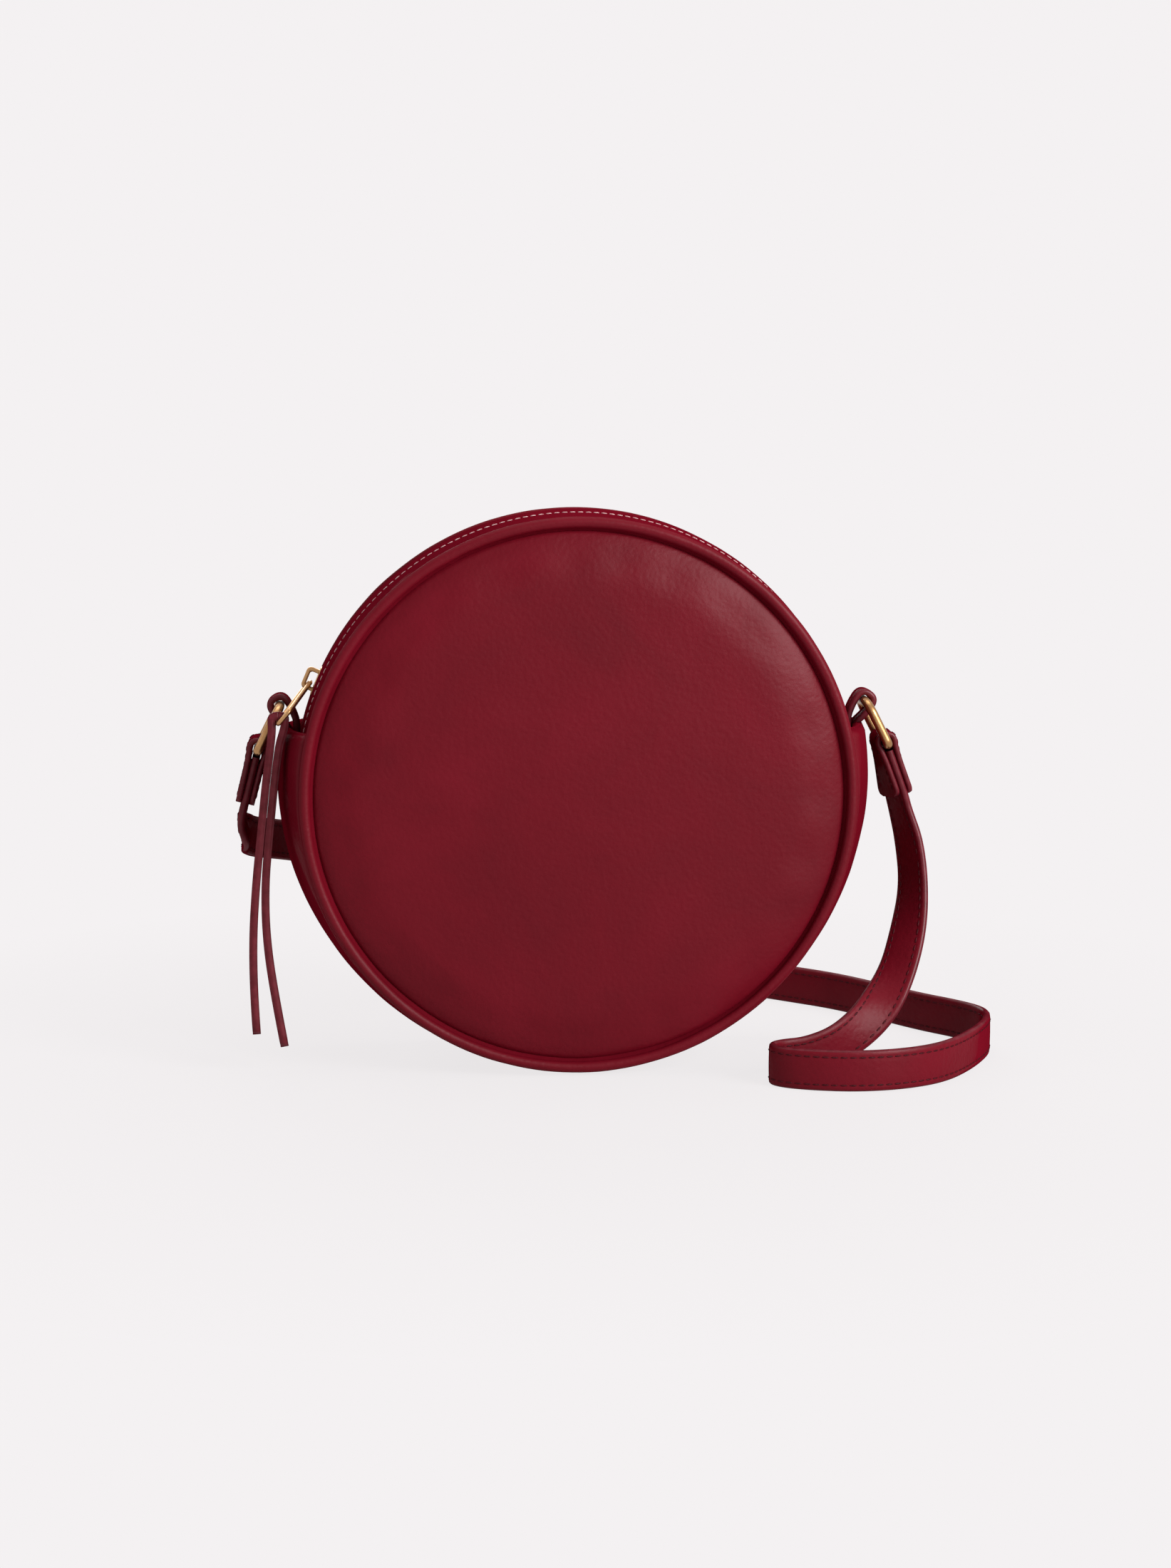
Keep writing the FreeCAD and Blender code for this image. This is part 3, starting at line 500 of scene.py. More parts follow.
def band_point(share, along, inset, mouth):
    """Point on the band. Share runs across it from front to back, -1 to 1.

    Along runs from the right mouth to the left one, 0 to 1.
    """
    bulge = 1 - share * share
    radius = BAND_SEAM + (BAND_SIDE - BAND_SEAM) * bulge - inset
    height = AXIS + BAND_RISE * bulge
    end = math.asin((AXIS + mouth - height) / radius)
    angle = end - along * (math.pi + 2 * end)
    spot = Vector((radius * math.cos(angle), share * BAND_HALF, height + radius * math.sin(angle)))
    spot.z = max(spot.z, FLOOR_GAP)
    return spot * MM


def band_sheet(name, inset, mouth, hem):
    """A grid moved onto the band. Its first and last rows turn in over the mouth where there is a hem."""
    deselect()
    bpy.ops.mesh.primitive_grid_add(x_subdivisions=BAND_COLUMNS, y_subdivisions=BAND_ROWS, size=2)
    sheet = bpy.context.object
    sheet.name = name
    lead = len(hem)
    for vertex in sheet.data.vertices:
        share = vertex.co.x
        row = round((vertex.co.y + 1) / 2 * BAND_ROWS)
        from_end = min(row, BAND_ROWS - row)
        depth, below = hem[from_end] if from_end < lead else (0.0, 0.0)
        along = max(0.0, min(1.0, (row - lead) / (BAND_ROWS - 2 * lead)))
        vertex.co = band_point(share, along, inset + depth, mouth - below)
    return sheet


def make_side_band():
    band = band_sheet("side_gusset", inset=0.0, mouth=POCKET_MOUTH, hem=POCKET_HEM)
    thicken(band, "leather", thickness=1.0, offset=-1)
    soft_dents(band, amount=0.7, spread=30)
    apply_modifiers(band)
    for vertex in band.data.vertices:
        vertex.co.z = max(vertex.co.z, FLOOR_GAP * MM)
    finish_mesh(band, LEATHER)
    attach(band, "bag")
    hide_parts("side_band")
    lining = band_sheet("gusset_lining", inset=2.0, mouth=1.0, hem=())
    thicken(lining, "cloth", thickness=0.5, offset=-1)
    apply_modifiers(lining)
    unwrap_on_wheel(lining)
    finish_mesh(lining, LINING)
    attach(lining, "bag")
    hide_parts("side_lining")


# Stitches: one thread stitch, copied along a row

STITCH_PROUD = 0.05


def stitch_row(name, spots, thread, length=2.2, width=0.62, height=0.5):
    """Joined copies of one rounded stitch. Each spot is its place, the row's direction and the way out."""
    deselect()
    lying = (0, math.pi / 2, 0)
    bpy.ops.mesh.primitive_uv_sphere_add(segments=6, ring_count=5, radius=0.5 * MM, rotation=lying)
    pattern = bpy.context.object
    pattern.scale = (width, width, length)
    bpy.ops.object.transform_apply(location=True, rotation=True, scale=True)
    shape, faces = take_shape(pattern)
    flatten = height / width
    copies = []
    for place, along, outward in spots:
        side = outward.cross(along)
        copies.append([
            place + along * spot.x + side * spot.y + outward * (spot.z * flatten) for spot in shape
        ])
    row = joined_copies(name, copies, faces)
    finish_mesh(row, thread)
    return row


def make_pocket_stitches():
    """A row under each pocket mouth. Points a little further on and below give its direction and way out."""
    pitch, margin = 2.9, 2.5
    height = POCKET_MOUTH - 1.7
    further, below = 0.02, 1
    count = int(2 * (BAND_HALF - margin) / pitch)
    spots = []
    for end in (0.0, 1.0):
        for step in range(count):
            share = (-(count - 1) / 2 + step) * pitch / BAND_HALF
            place = band_point(share, end, -STITCH_PROUD, height)
            next_place = band_point(share + further, end, -STITCH_PROUD, height)
            lower = band_point(share, end, -STITCH_PROUD, height - below)
            along = (next_place - place).normalized()
            outward = along.cross((lower - place).normalized())
            if outward.x * place.x < 0:
                outward = -outward
            spots.append((place, along, outward))
    row = stitch_row("pocket_stitches", spots, THREAD)
    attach(row, "bag")


# Zip: leather facings with a turned edge, woven tapes and two rows of meshing teeth.
# The fold gives points as (below the crest, behind the edge), and the tape as (below its top, depth).

FACING_SEAM = 91.6
FACING_CREST = 95.8
FACING_FALL = 1.25
FACING_EDGE = 4.6
FACING_END = 4.0
FACING_STEPS = 30
FACING_FOLD = ((0.25, 0.35), (0.8, 0.1), (1.35, 0.35), (1.55, 1.2), (1.6, 5.0))
FOLD_BEGIN = 0.9
RIB_HEIGHT, RIB_INSET, RIB_WIDTH = 0.4, 2.2, 0.8
ROW_INSET, ROW_PITCH = 7.5, 2.7
STRIP_HALF = math.acos(FACING_END / FACING_CREST)
TAPE_TOP = 93.3
TAPE_PROFILE = ((0.35, 2.3), (0.3, 3.6), (0.35, 15.0))
TOOTH_PITCH = 2.4
TOOTH_TOP = 94.3
TOOTH_BOTTOM = 91.7
TOOTH_REACH = 0.7
TOOTH_FOOT = 2.2
TOOTH_WIDTH = 1.1
TOOTH_WAIST, TOOTH_HEAD = 0.72, 0.8
FIRST_TOOTH = math.radians(23.5 - 90)
LAST_TOOTH = math.radians(90 - 22.5)


def facing_height(depth):
    """Radius of a facing's outer surface at a depth from the middle, with a rib beside the seam."""
    share = (depth - FACING_EDGE) / (BAND_HALF - FACING_EDGE)
    rib = RIB_HEIGHT * math.exp(-((depth - BAND_HALF + RIB_INSET) / RIB_WIDTH) ** 2)
    return FACING_CREST - (FACING_CREST - FACING_SEAM) * max(share, 0.0) ** FACING_FALL + rib


def make_facing(side, sign):
    outer = []
    for step in range(FACING_STEPS + 1):
        depth = BAND_HALF - (BAND_HALF - FACING_EDGE - FOLD_BEGIN) * step / FACING_STEPS
        outer.append((facing_height(depth), sign * depth))
    fold = [(FACING_CREST - below, sign * (FACING_EDGE + behind)) for below, behind in FACING_FOLD]
    facing = turned(f"{side}_zip_strip", outer + fold, steps=AROUND, begin=-STRIP_HALF, angle=2 * STRIP_HALF)
    soft_dents(facing, amount=0.3, spread=20)
    thicken(facing, "leather", thickness=0.7, offset=-1)
    apply_modifiers(facing)
    finish_mesh(facing, LEATHER)
    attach(facing, "bag")
    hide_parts(f"{side}_zip_facing")
    row_depth = FACING_EDGE + ROW_INSET
    count = int(2 * STRIP_HALF * FACING_CREST / ROW_PITCH)
    spots = []
    for step in range(count):
        angle = (step - (count - 1) / 2) * ROW_PITCH / FACING_CREST
        place = on_wheel(facing_height(row_depth) + STITCH_PROUD, sign * row_depth, angle)
        outward = Vector((math.sin(angle), 0, math.cos(angle)))
        spots.append((place, Vector((math.cos(angle), 0, -math.sin(angle))), outward))
    row = stitch_row(f"{side}_zip_stitches", spots, ZIP_THREAD, length=2.0)
    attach(row, "bag")


def make_tape(side, sign):
    profile = [(TAPE_TOP - below, sign * depth) for below, depth in TAPE_PROFILE]
    tape = turned(f"{side}_woven_tape", profile, steps=AROUND, begin=-STRIP_HALF, angle=2 * STRIP_HALF)
    thicken(tape, "cloth", thickness=0.6, offset=0)
    apply_modifiers(tape)
    unwrap_on_wheel(tape)
    finish_mesh(tape, TAPE)
    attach(tape, "bag")
    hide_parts(f"{side}_zip_tape")


def make_teeth(side, sign):
    """One tooth from a block: a waisted stem with a smaller head, bevelled, then copied along the arc."""
    deselect()
    middle = (TOOTH_TOP + TOOTH_BOTTOM) / 2
    depth = TOOTH_FOOT + TOOTH_REACH
    bpy.ops.mesh.primitive_cube_add(size=1)
    tooth = bpy.context.object
    tooth.scale = Vector((TOOTH_WIDTH, depth, TOOTH_TOP - TOOTH_BOTTOM)) * MM
    tooth.location = Vector((0, sign * (TOOTH_FOOT - TOOTH_REACH) / 2, 0)) * MM
    bpy.ops.object.transform_apply(location=True, rotation=True, scale=True)
    bpy.ops.object.mode_set(mode="EDIT")
    bpy.ops.mesh.subdivide(number_cuts=1)
    bpy.ops.object.mode_set(mode="OBJECT")
    for vertex in tooth.data.vertices:
        share = (sign * vertex.co.y / MM + TOOTH_REACH) / depth
        at_waist = 0.25 < share < 0.75
        at_head = share < 0.1
        if at_waist:
            vertex.co.x *= TOOTH_WAIST
        if at_head:
            vertex.co.x *= TOOTH_HEAD
            vertex.co.z *= TOOTH_HEAD
    soft = tooth.modifiers.new("soft", "BEVEL")
    soft.width = 0.16 * MM
    soft.segments = 1
    apply_modifiers(tooth)
    shape, faces = take_shape(tooth)
    pitch = TOOTH_PITCH / TOOTH_TOP
    count = int((LAST_TOOTH - FIRST_TOOTH) / pitch)
    between = 0.5 if sign > 0 else 0.0
    copies = []
    for step in range(count):
        turn = Matrix.Rotation(FIRST_TOOTH + (step + between) * pitch, 3, "Y")
        copies.append([Vector((0, 0, AXIS * MM)) + turn @ (spot + UP * (middle * MM)) for spot in shape])
    row = joined_copies(f"{side}_teeth_row", copies, faces)
    finish_mesh(row, GOLD)
    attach(row, "bag")
    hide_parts(f"{side}_zip_teeth")


# Metal pieces keep the shape of their solids. Slider and stops have their sharp edges broken.

def polished(node, name, body, edge):
    """A copy of a metal node, merged and with its edges rounded."""
    deselect()
    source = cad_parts[node]
    piece = bpy.data.objects.new(name, source.data.copy())
    bpy.context.collection.objects.link(piece)
    piece.data.materials.clear()
    bpy.context.view_layer.objects.active = piece
    piece.select_set(True)
    bpy.ops.object.mode_set(mode="EDIT")
    bpy.ops.mesh.select_all(action="SELECT")
    bpy.ops.mesh.remove_doubles(threshold=0.005 * MM)
    bpy.ops.mesh.dissolve_limited(angle_limit=math.radians(1))
    bpy.ops.object.mode_set(mode="OBJECT")
    rounded = piece.modifiers.new("rounded", "BEVEL")
    rounded.width = edge * MM
    rounded.segments = 2
    rounded.limit_method = "ANGLE"
    rounded.angle_limit = math.radians(40)
    apply_modifiers(piece)
    finish_mesh(piece, GOLD)
    bpy.ops.object.shade_smooth_by_angle(angle=math.radians(35))
    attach(piece, body)
    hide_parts(node)


def make_metal():
    polished("zip_slider", "slider_body", "slider", edge=0.25)
    polished("zip_end_stops", "chain_stops", "bag", edge=0.25)
    for node in ("zip_pull", "left_ring", "right_ring"):
        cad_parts[node].data.materials.clear()
        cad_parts[node].data.materials.append(GOLD)


# Leather bands: a section with rounded, painted edges, swept along a smooth line.
# The edge gives points as (in from the side, up), in shares of half the thickness.

EDGE_ROUND = ((0.0, 0.0), (0.13, 0.5), (0.5, 0.86))
GROOVE_HALF, GROOVE_LIP, GROOVE_FLOOR = 0.7, 0.97, 0.9
CROWN_HALF, CROWN_TOP = 0.35, 1.02
PAINT_WIDTH = 1.1
NARROWEST = 0.12


def smooth_line(points, fineness):
    """Points of a smooth line with the given control points, as a curve evaluates them."""
    curve = bpy.data.curves.new("route", "CURVE")
    curve.dimensions = "3D"
    spline = curve.splines.new("NURBS")
    spline.points.add(len(points) - 1)
    for point, place in zip(spline.points, points):
        point.co = (*place, 1.0)
    spline.order_u = 3
    spline.use_endpoint_u = True
    spline.resolution_u = fineness
    holder = bpy.data.objects.new("route", curve)
    bpy.context.collection.objects.link(holder)
    bpy.context.view_layer.update()
    mesh = bpy.data.meshes.new_from_object(holder)
    line = [vertex.co.copy() for vertex in mesh.vertices]
    bpy.data.objects.remove(holder)
    bpy.data.meshes.remove(mesh)
    return line


def length_of(line):
    return sum((after - before).length for before, after in zip(line, line[1:]))


def directions(line):
    last = len(line) - 1
    return [(line[min(index + 1, last)] - line[max(index - 1, 0)]).normalized() for index in range(last + 1)]


def band_section(width, thickness, groove):
    """Closed outline (across, out) of a band: a low crown, a groove where it is sewn, and round edges."""
    half, rise = width / 2, thickness / 2
    sewn = half - groove
    upper = [(-half + inwards * rise, up * rise) for inwards, up in EDGE_ROUND]
    upper += [
        (-sewn - GROOVE_HALF, GROOVE_LIP * rise),
        (-sewn, GROOVE_FLOOR * rise),
        (-sewn + GROOVE_HALF, GROOVE_LIP * rise),
        (-CROWN_HALF * half, rise),
    ]
    top = upper + [(0.0, CROWN_TOP * rise)] + [(-across, out) for across, out in reversed(upper)]
    return top + [(across, -out) for across, out in reversed(top[1:-1])]


def leather_band(name, line, wide, section, round_start=0.0, round_end=0.0, capped=True):
    """Sweep a section along a line, with wide as the direction of its width. Ends may be cut round."""
    half = max(across for across, _ in section)
    lengths = [0.0]
    for before, after in zip(line, line[1:]):
        lengths.append(lengths[-1] + (after - before).length / MM)
    points, faces, painted = [], [], []
    count = len(section)
    for spot, along, across, length in zip(line, directions(line), wide, lengths):
        across = (across - along * across.dot(along)).normalized()
        out = along.cross(across)
        narrow = 1.0
        for radius, left in ((round_start, length), (round_end, lengths[-1] - length)):
            if left < radius:
                narrow = (half - radius + math.sqrt(radius ** 2 - (radius - left) ** 2)) / half
        narrow = max(narrow, NARROWEST)
        points += [spot + (across * (a * narrow) + out * o) * MM for a, o in section]
    for row in range(len(line) - 1):
        for column in range(count):
            after = (column + 1) % count
            faces.append((row * count + column, row * count + after,
                          (row + 1) * count + after, (row + 1) * count + column))
            painted.append(min(abs(section[column][0]), abs(section[after][0])) > half - PAINT_WIDTH)
    if capped:
        faces.append(tuple(reversed(range(count))))
        faces.append(tuple(range(len(points) - count, len(points))))
        painted += [True, True]
    band = mesh_piece(name, points, faces)
    finish_mesh(band, LEATHER, EDGE)
    for face, is_edge in zip(band.data.polygons, painted):
        face.material_index = 1 if is_edge else 0
    bpy.ops.object.mode_set(mode="EDIT")
    bpy.ops.mesh.select_all(action="SELECT")
    bpy.ops.mesh.normals_make_consistent(inside=False)
    bpy.ops.object.mode_set(mode="OBJECT")
    return band


def sewn_spots(line, wide, offsets, out, pitch, lead=0.0):
    """Stitch places along a line at the given distances across it, and out to each side of it."""
    ways = directions(line)
    spots = []
    travelled, due = 0.0, lead + pitch / 2
    total = length_of(line) / MM
    for index in range(len(line) - 1):
        step = (line[index + 1] - line[index]).length / MM
        while due <= travelled + step and due <= total - lead - pitch / 2:
            share = (due - travelled) / step
            place = line[index].lerp(line[index + 1], share)
            along = ways[index].lerp(ways[index + 1], share).normalized()
            across = wide[index].lerp(wide[index + 1], share)
            across = (across - along * across.dot(along)).normalized()
            face = along.cross(across)
            for offset in offsets:
                for side in out:
                    spot = place + (across * offset + face * side) * MM
                    spots.append((spot, along, face * math.copysign(1, side)))
            due += pitch
        travelled += step
    return spots


# Loops, rings and tabs at both sides. The left side is the right one turned half round.

EYE = Vector((100.4, 0.0, 124.0))
EYE_HALF = 3.0
LOOP_WIDTH, LOOP_LEATHER = 7.4, 2.3
TONGUE_MOUTH = Vector((95.0, 0.0, 115.9))
TONGUE_END = Vector((96.7, 0.0, 102.0))
RING_DROP = 16.5
RING_TILT = math.radians(27.0)
TAB_TILT = math.radians(14.5)
TAB_LENGTH, TAB_WIDTH, TAB_LEATHER = 19.0, 14.0, 1.9
TAB_SEWN_IN = 1.9
TAB_ROUND = 3.2
TAB_BEND = 3.4
TAB_NECK, TAB_SPREAD = 4, 1.05
TAB_KNEE = 0.6
TAB_FOOT_WAY = {"left": (0.0, 1.0, 0.0), "right": (-0.35, 0.93, 0.0)}
STRAP_WIDTH, STRAP_THICK = 14.0, 2.6
GLUE = 0.05
RING_LOW = EYE + Vector((math.sin(RING_TILT), 0, -math.cos(RING_TILT))) * RING_DROP
TAB_DOWN = Vector((math.sin(TAB_TILT), 0, -math.cos(TAB_TILT)))
TAB_SIDE = Vector((math.cos(TAB_TILT), 0, math.sin(TAB_TILT)))


def half_turn(points):
    return [Vector((-point.x, -point.y, point.z)) for point in points]


def make_loop(side):
    rise = (EYE - TONGUE_MOUTH).normalized()
    out = Vector((rise.z, 0, -rise.x))
    layer = LOOP_LEATHER / 2
    route = [
        TONGUE_END + out * layer, TONGUE_MOUTH + out * layer, EYE + (out - rise) * EYE_HALF,
        EYE + (out + rise) * EYE_HALF, EYE + (rise - out) * EYE_HALF, EYE - (out + rise) * EYE_HALF,
        TONGUE_MOUTH - out * layer, TONGUE_END - out * layer,
    ]
    route = route if side == "right" else half_turn(route)
    line = smooth_line([point * MM for point in route], fineness=14)
    wide = [BACK] * len(line)
    section = band_section(LOOP_WIDTH, LOOP_LEATHER, groove=1.6)
    loop = leather_band(f"{side}_leather_loop", line, wide, section)
    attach(loop, "bag")
    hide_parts(f"{side}_ring_loop")


def tab_lean(side, below):
    """Direction of a tab's width: level at the ring, and on the right turned with the strap lower down."""
    share = min(max(below / TAB_LENGTH, 0.0), 1.0)
    return BACK.lerp(Vector(TAB_FOOT_WAY[side]), share)


def make_tab(side):
    layer = STRAP_THICK / 2 + TAB_LEATHER / 2 + GLUE
    route = []
    for sign in (1, -1):
        leg = [
            RING_LOW + TAB_DOWN * TAB_LENGTH + TAB_SIDE * (sign * layer),
            RING_LOW + TAB_DOWN * (TAB_LENGTH * TAB_KNEE) + TAB_SIDE * (sign * layer),
            RING_LOW + TAB_DOWN * TAB_NECK + TAB_SIDE * (sign * layer * TAB_SPREAD),
            RING_LOW - TAB_DOWN * TAB_BEND + TAB_SIDE * (sign * TAB_BEND),
        ]
        route += leg if sign > 0 else leg[::-1]
    route = route if side == "right" else half_turn(route)
    line = smooth_line([point * MM for point in route], fineness=20)
    wide = [tab_lean(side, (RING_LOW * MM - spot).z / MM) for spot in line]
    section = band_section(TAB_WIDTH, TAB_LEATHER, groove=TAB_SEWN_IN)
    tab = leather_band(f"{side}_folded_tab", line, wide, section, round_start=TAB_ROUND, round_end=TAB_ROUND)
    row = TAB_WIDTH / 2 - TAB_SEWN_IN
    surface = TAB_LEATHER / 2
    spots = sewn_spots(line, wide, (-row, row), (surface, -surface), pitch=2.6, lead=2.0)
    stitches = stitch_row(f"{side}_tab_stitches", spots, THREAD, length=2.0)
    for piece in (tab, stitches):
        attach(piece, f"{side}_tab")
    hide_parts(f"{side}_strap_tab")


# Strap: its route follows the one of the part's source, with rounder folds, from the right tab over
# the floor to the left tab. Each point has a place and the direction of the strap's width.

ACROSS = (0.0, 1.0, 0.0)
TURNED = (-0.50, 0.87, 0.0)
LEANING = (-0.50, 0.70, 0.32)
RISING = (-0.25, 0.35, 0.85)
UPRIGHT = (0.0, 0.0, 1.0)
TWISTED = (0.45, 0.75, 0.45)
LAID_HEIGHT = 7.1


def laid(*places):
    """Points (x, y) of the strap where it stands on its edge on the floor."""
    return [(x, y, LAID_HEIGHT, UPRIGHT) for x, y in places]


RIGHT_RUN = [
    (117.0, -2.5, 74.0, TURNED), (118.0, -6.0, 60.0, TURNED),
    (115.0, -13.0, 45.0, LEANING), (109.5, -21.0, 31.0, LEANING), (100.0, -30.0, 19.0, RISING),
    (88.0, -36.0, 11.0, UPRIGHT), (76.0, -39.0, 7.3, UPRIGHT),
    *laid(
        (66.0, -41.0), (62.0, -46.5), (66.0, -52.5), (76.0, -57.0), (90.0, -60.0), (106.0, -57.5),
        (121.0, -49.0), (134.0, -31.0), (144.0, -11.0), (146.0, 3.0), (139.0, 16.0), (128.0, 29.0),
        (116.0, 48.0), (103.0, 67.0), (87.0, 82.0),
    ),
]
FOLDED = laid(
    (71.0, 97.0), (45.0, 101.0), (10.0, 101.0), (-30.0, 101.0), (-41.5, 101.0), (-50.5, 101.0),
    (-50.5, 91.0), (-41.5, 91.0), (-30.0, 91.0), (30.0, 91.0), (41.5, 91.0), (50.5, 91.0),
    (50.5, 81.0), (41.5, 81.0), (30.0, 81.0), (-30.0, 81.0), (-41.5, 81.0), (-50.5, 81.0),
    (-50.5, 71.0), (-41.5, 71.0), (-30.0, 71.0), (30.0, 71.0), (41.5, 71.0), (50.5, 71.0),
    (50.5, 61.0), (41.5, 60.5), (28.0, 60.0), (8.0, 60.0),
)
LEFT_RUN = [
    *laid((-10.0, 60.0)), (-26.0, 60.0, 13.0, UPRIGHT),
    (-40.0, 59.0, 28.0, UPRIGHT), (-54.0, 56.0, 45.0, UPRIGHT), (-70.0, 51.0, 60.0, UPRIGHT),
    (-87.0, 42.0, 69.0, UPRIGHT), (-102.0, 28.0, 73.5, UPRIGHT), (-111.5, 12.0, 77.0, TWISTED),
    (-113.5, 2.0, 81.0, ACROSS),
]
STRAP_INSET, STRAP_LEAD = 2.4, 6.0
STRAP_FINENESS = 10
SEWN_IN, STITCH_SUNK = 2.3, 0.08
RIGHT_END_HEIGHT = 68
LEFT_END_DEPTH = 14
JOIN_SIDE, JOIN_DEPTH = 8, 60.5


def tab_end(sign):
    """The strap's points inside a tab and just below it."""
    points = []
    for distance in (STRAP_INSET, TAB_LENGTH / 2, TAB_LENGTH, TAB_LENGTH + STRAP_LEAD):
        spot = RING_LOW + TAB_DOWN * distance
        points.append((sign * spot.x, 0.0, spot.z, tab_lean("right" if sign > 0 else "left", distance)))
    return points


def make_strap():
    """The strap in four stretches, each a band with its stitches."""
    route = tab_end(1) + RIGHT_RUN + FOLDED + LEFT_RUN + tab_end(-1)[::-1]
    line = smooth_line([Vector(point[:3]) * MM for point in route], STRAP_FINENESS)
    wide = smooth_line([Vector(point[3]) for point in route], STRAP_FINENESS)
    leave = next(index for index, spot in enumerate(line) if spot.z < RIGHT_END_HEIGHT * MM)
    arrive = next(index for index in reversed(range(len(line))) if line[index].y > LEFT_END_DEPTH * MM)
    join = next(
        index for index in range(leave, arrive)
        if 0 < line[index].y < JOIN_DEPTH * MM and line[index].x < JOIN_SIDE * MM
    )
    stretches = [
        ("right_strap_end", 0, leave, "right_ring", "right_tab", (112, 0, 74), (112, 0, 90)),
        ("right_strap", leave, join, "bag", "right_ring", (112, 0, 16), (112, 0, 60)),
        ("left_strap", join, arrive, "bag", "left_ring", (-79, 46.5, 70), (-108, 18, 70)),
        ("left_strap_end", arrive, len(line) - 1, "left_ring", "left_tab", (-112, 14, 76), (-112, 3, 85)),
    ]
    section = band_section(STRAP_WIDTH, STRAP_THICK, groove=SEWN_IN)
    row = STRAP_WIDTH / 2 - SEWN_IN
    surface = STRAP_THICK / 2 - STITCH_SUNK
    pieces = {}
    for name, first, last, lower, upper, start, end in stretches:
        part, lean = line[first:last + 1], wide[first:last + 1]
        band = leather_band(name, part, lean, section, capped=False)
        spots = sewn_spots(part, lean, (-row, row), (surface, -surface), pitch=3.0)
        stitches = stitch_row(f"{name}_stitches", spots, THREAD, length=2.4)
        for piece in (band, stitches):
            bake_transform(piece)
        pieces[name] = (band, stitches, part)
    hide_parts("strap_right_run", "strap_folded")
    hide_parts("strap_left_run")
    for name, end in (("right_strap", "right_strap_end"), ("left_strap", "left_strap_end")):
        band, stitches, part = pieces[name]
        start = part[0] if name == "right_strap" else part[-1]


# Thong: one lace folded over the pull's bar. Each tail starts at the top of the fold and hangs free.
# The shares give a tail's points as (drop in shares of the hang, sideways in shares of the fold's width).

PULL_LOW = Vector((-100.6, -17.0, 120.0))
THONG_WIDTH, THONG_THICK = 5.0, 2.7
THONG_HANG = 110.8
BOW = 3.6
LEFT_TAIL_SHARES = (
    (0.02, -0.30), (0.06, -0.36), (0.10, -0.44), (0.19, -0.63), (0.34, -0.88),
    (0.50, -1.16), (0.67, -1.34), (0.85, -1.32), (0.96, -1.22),
)
RIGHT_TAIL_SHARES = (
    (0.02, 0.26), (0.06, 0.06), (0.10, -0.05), (0.19, -0.24), (0.34, -0.49),
    (0.50, -0.74), (0.67, -0.70), (0.85, -0.33), (1.00, 0.08),
)


def make_thong():
    middle = BOW - THONG_THICK / 2
    section = band_section(THONG_WIDTH, THONG_THICK, groove=1.3)
    for name, sign, shares in (("left", -1, LEFT_TAIL_SHARES), ("right", 1, RIGHT_TAIL_SHARES)):
        route = [PULL_LOW + UP * middle, PULL_LOW + Vector((sign * middle, 0, middle)),
                 PULL_LOW + Vector((sign * middle, 0, 0))]
        route += [PULL_LOW + Vector((out * 2 * BOW, 0, -drop * THONG_HANG)) for drop, out in shares]
        line = smooth_line([point * MM for point in route], fineness=14)
        tail = leather_band(f"thong_{name}_tail", line, [BACK] * len(line), section, round_end=2.4)
        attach(tail, "thong")
    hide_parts("pull_thong")


# Floor, light and camera. Lights are placed in metres.

PALE = "#f4f1f2"
BOUNCE = "#d0cccc"
ROOM = "#ffffff"
LIT_SPOT = Vector((0, 0, 0.1))


def seen_directly(tree):
    """1 for rays from the camera, or by way of metal, and 0 for the light that falls on the object."""
    rays = add(tree, "ShaderNodeLightPath")
    shown = add(tree, "ShaderNodeMath", {
        0: (rays, "Is Camera Ray"), 1: (rays, "Is Glossy Ray"),
    }, operation="MAXIMUM")
    return add(tree, "ShaderNodeMath", {
        0: (shown, "Value"), 1: (rays, "Is Transmission Ray"),
    }, operation="MAXIMUM")


def make_floor():
    """A pale floor. Near the bag it keeps a share of the bag's shadow, which fades out further away."""
    deselect()
    bpy.ops.mesh.primitive_plane_add(size=12)
    floor = bpy.context.object
    floor.name = "studio_floor"
    material = bpy.data.materials.new("pale_studio_floor")
    material.use_nodes = True
    tree = material.node_tree
    tree.nodes.clear()
    shown = seen_directly(tree)
    place = add(tree, "ShaderNodeTexCoord")
    away = add(tree, "ShaderNodeVectorMath", {0: (place, "Object")}, operation="LENGTH")
    glow = add(tree, "ShaderNodeMapRange", {
        "Value": (away, "Value"), "From Min": 0.12, "From Max": 0.32, "To Min": 0.88, "To Max": 1.0,
    })
    share = add(tree, "ShaderNodeMath", {0: (shown, "Value"), 1: (glow, "Result")}, operation="MULTIPLY")
    matt = add(tree, "ShaderNodeBsdfDiffuse", {"Color": colour(BOUNCE)})
    pale = add(tree, "ShaderNodeEmission", {"Color": colour(PALE)})
    mixed = add(tree, "ShaderNodeMixShader", {0: (share, "Value"), 1: (matt, "BSDF"), 2: (pale, "Emission")})
    add(tree, "ShaderNodeOutputMaterial", {"Surface": (mixed, "Shader")})
    floor.data.materials.append(material)


def make_world():
    world = bpy.data.worlds.new("studio")
    bpy.context.scene.world = world
    world.use_nodes = True
    tree = world.node_tree
    tree.nodes.clear()
    shown = seen_directly(tree)
    room = add(tree, "ShaderNodeBackground", {"Color": colour(ROOM), "Strength": 0.25})
    pale = add(tree, "ShaderNodeBackground", {"Color": colour(PALE), "Strength": 1.0})
    mixed = add(tree, "ShaderNodeMixShader", {
        0: (shown, "Value"), 1: (room, "Background"), 2: (pale, "Background"),
    })
    add(tree, "ShaderNodeOutputWorld", {"Surface": (mixed, "Shader")})


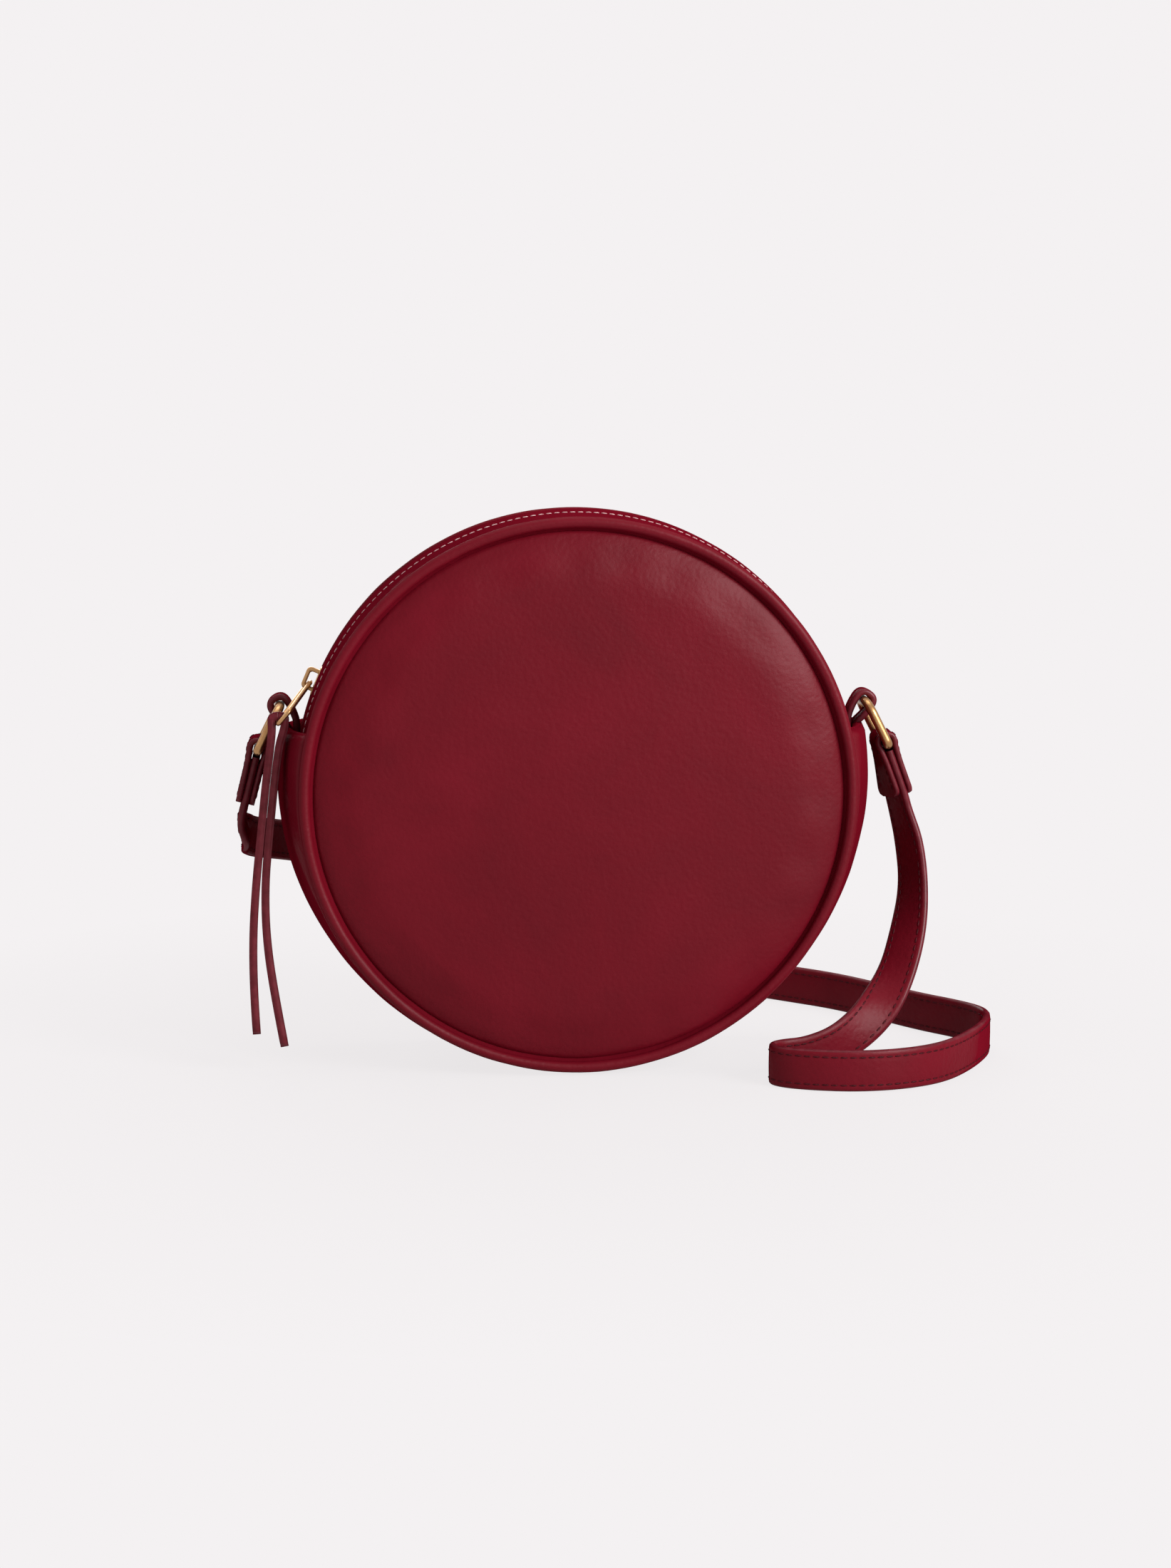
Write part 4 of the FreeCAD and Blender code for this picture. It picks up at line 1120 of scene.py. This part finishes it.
def soft_box(name, place, size, power, lights_colour=True):
    """Area light towards the bag. One that doesn't light the colour only shows as a shine."""
    lamp = bpy.data.lights.new(name, "AREA")
    lamp.shape = "RECTANGLE"
    lamp.size, lamp.size_y = size
    lamp.energy = power
    holder = bpy.data.objects.new(name, lamp)
    bpy.context.collection.objects.link(holder)
    holder.location = place
    holder.visible_diffuse = lights_colour
    holder.rotation_mode = "QUATERNION"
    holder.rotation_quaternion = (LIT_SPOT - Vector(place)).to_track_quat("-Z", "Y")


def make_lights():
    soft_box("key", place=(1.0, -0.95, 0.75), size=(0.7, 0.7), power=24)
    soft_box("shine", place=(0.85, -1.15, 0.6), size=(0.8, 0.8), power=12, lights_colour=False)
    soft_box("top", place=(0.0, 0.1, 1.3), size=(0.9, 0.5), power=5)
    soft_box("edge", place=(-0.9, -0.1, 0.9), size=(0.25, 0.9), power=1.5)
    soft_box("behind", place=(-0.3, 1.3, 0.7), size=(0.8, 0.8), power=9)


CAMERA_AWAY = 1000.0
CAMERA_SIDE = math.radians(-4.5)
CAMERA_RISE = math.radians(8.0)
LENS = 66.62
AIM_RIGHT, AIM_UP = 4.0, 0.8


def make_camera():
    camera = bpy.data.cameras.new("camera")
    camera.lens = LENS
    camera.sensor_width = 36
    camera.clip_start, camera.clip_end = 0.05, 50
    holder = bpy.data.objects.new("camera", camera)
    bpy.context.collection.objects.link(holder)
    centre = Vector((0, 0, AXIS)) * MM
    level = math.cos(CAMERA_RISE)
    back = Vector((math.sin(CAMERA_SIDE) * level, -math.cos(CAMERA_SIDE) * level, math.sin(CAMERA_RISE)))
    holder.location = centre + back * (CAMERA_AWAY * MM)
    right = (-back).cross(UP).normalized()
    aim = centre + (right * AIM_RIGHT + right.cross(-back) * AIM_UP) * MM
    holder.rotation_mode = "QUATERNION"
    holder.rotation_quaternion = (aim - holder.location).to_track_quat("-Z", "Y")
    bpy.context.scene.camera = holder


for side, sign in (("front", -1), ("back", 1)):
    make_cover(side, sign)
    make_piping(side, sign)
    make_facing(side, sign)
    make_tape(side, sign)
    make_teeth(side, sign)
make_side_band()
make_pocket_stitches()
make_metal()
for side in ("left", "right"):
    make_loop(side)
    make_tab(side)
make_strap()
make_thong()
make_floor()
make_world()
make_lights()
make_camera()
bpy.context.scene.view_settings.view_transform = "Standard"
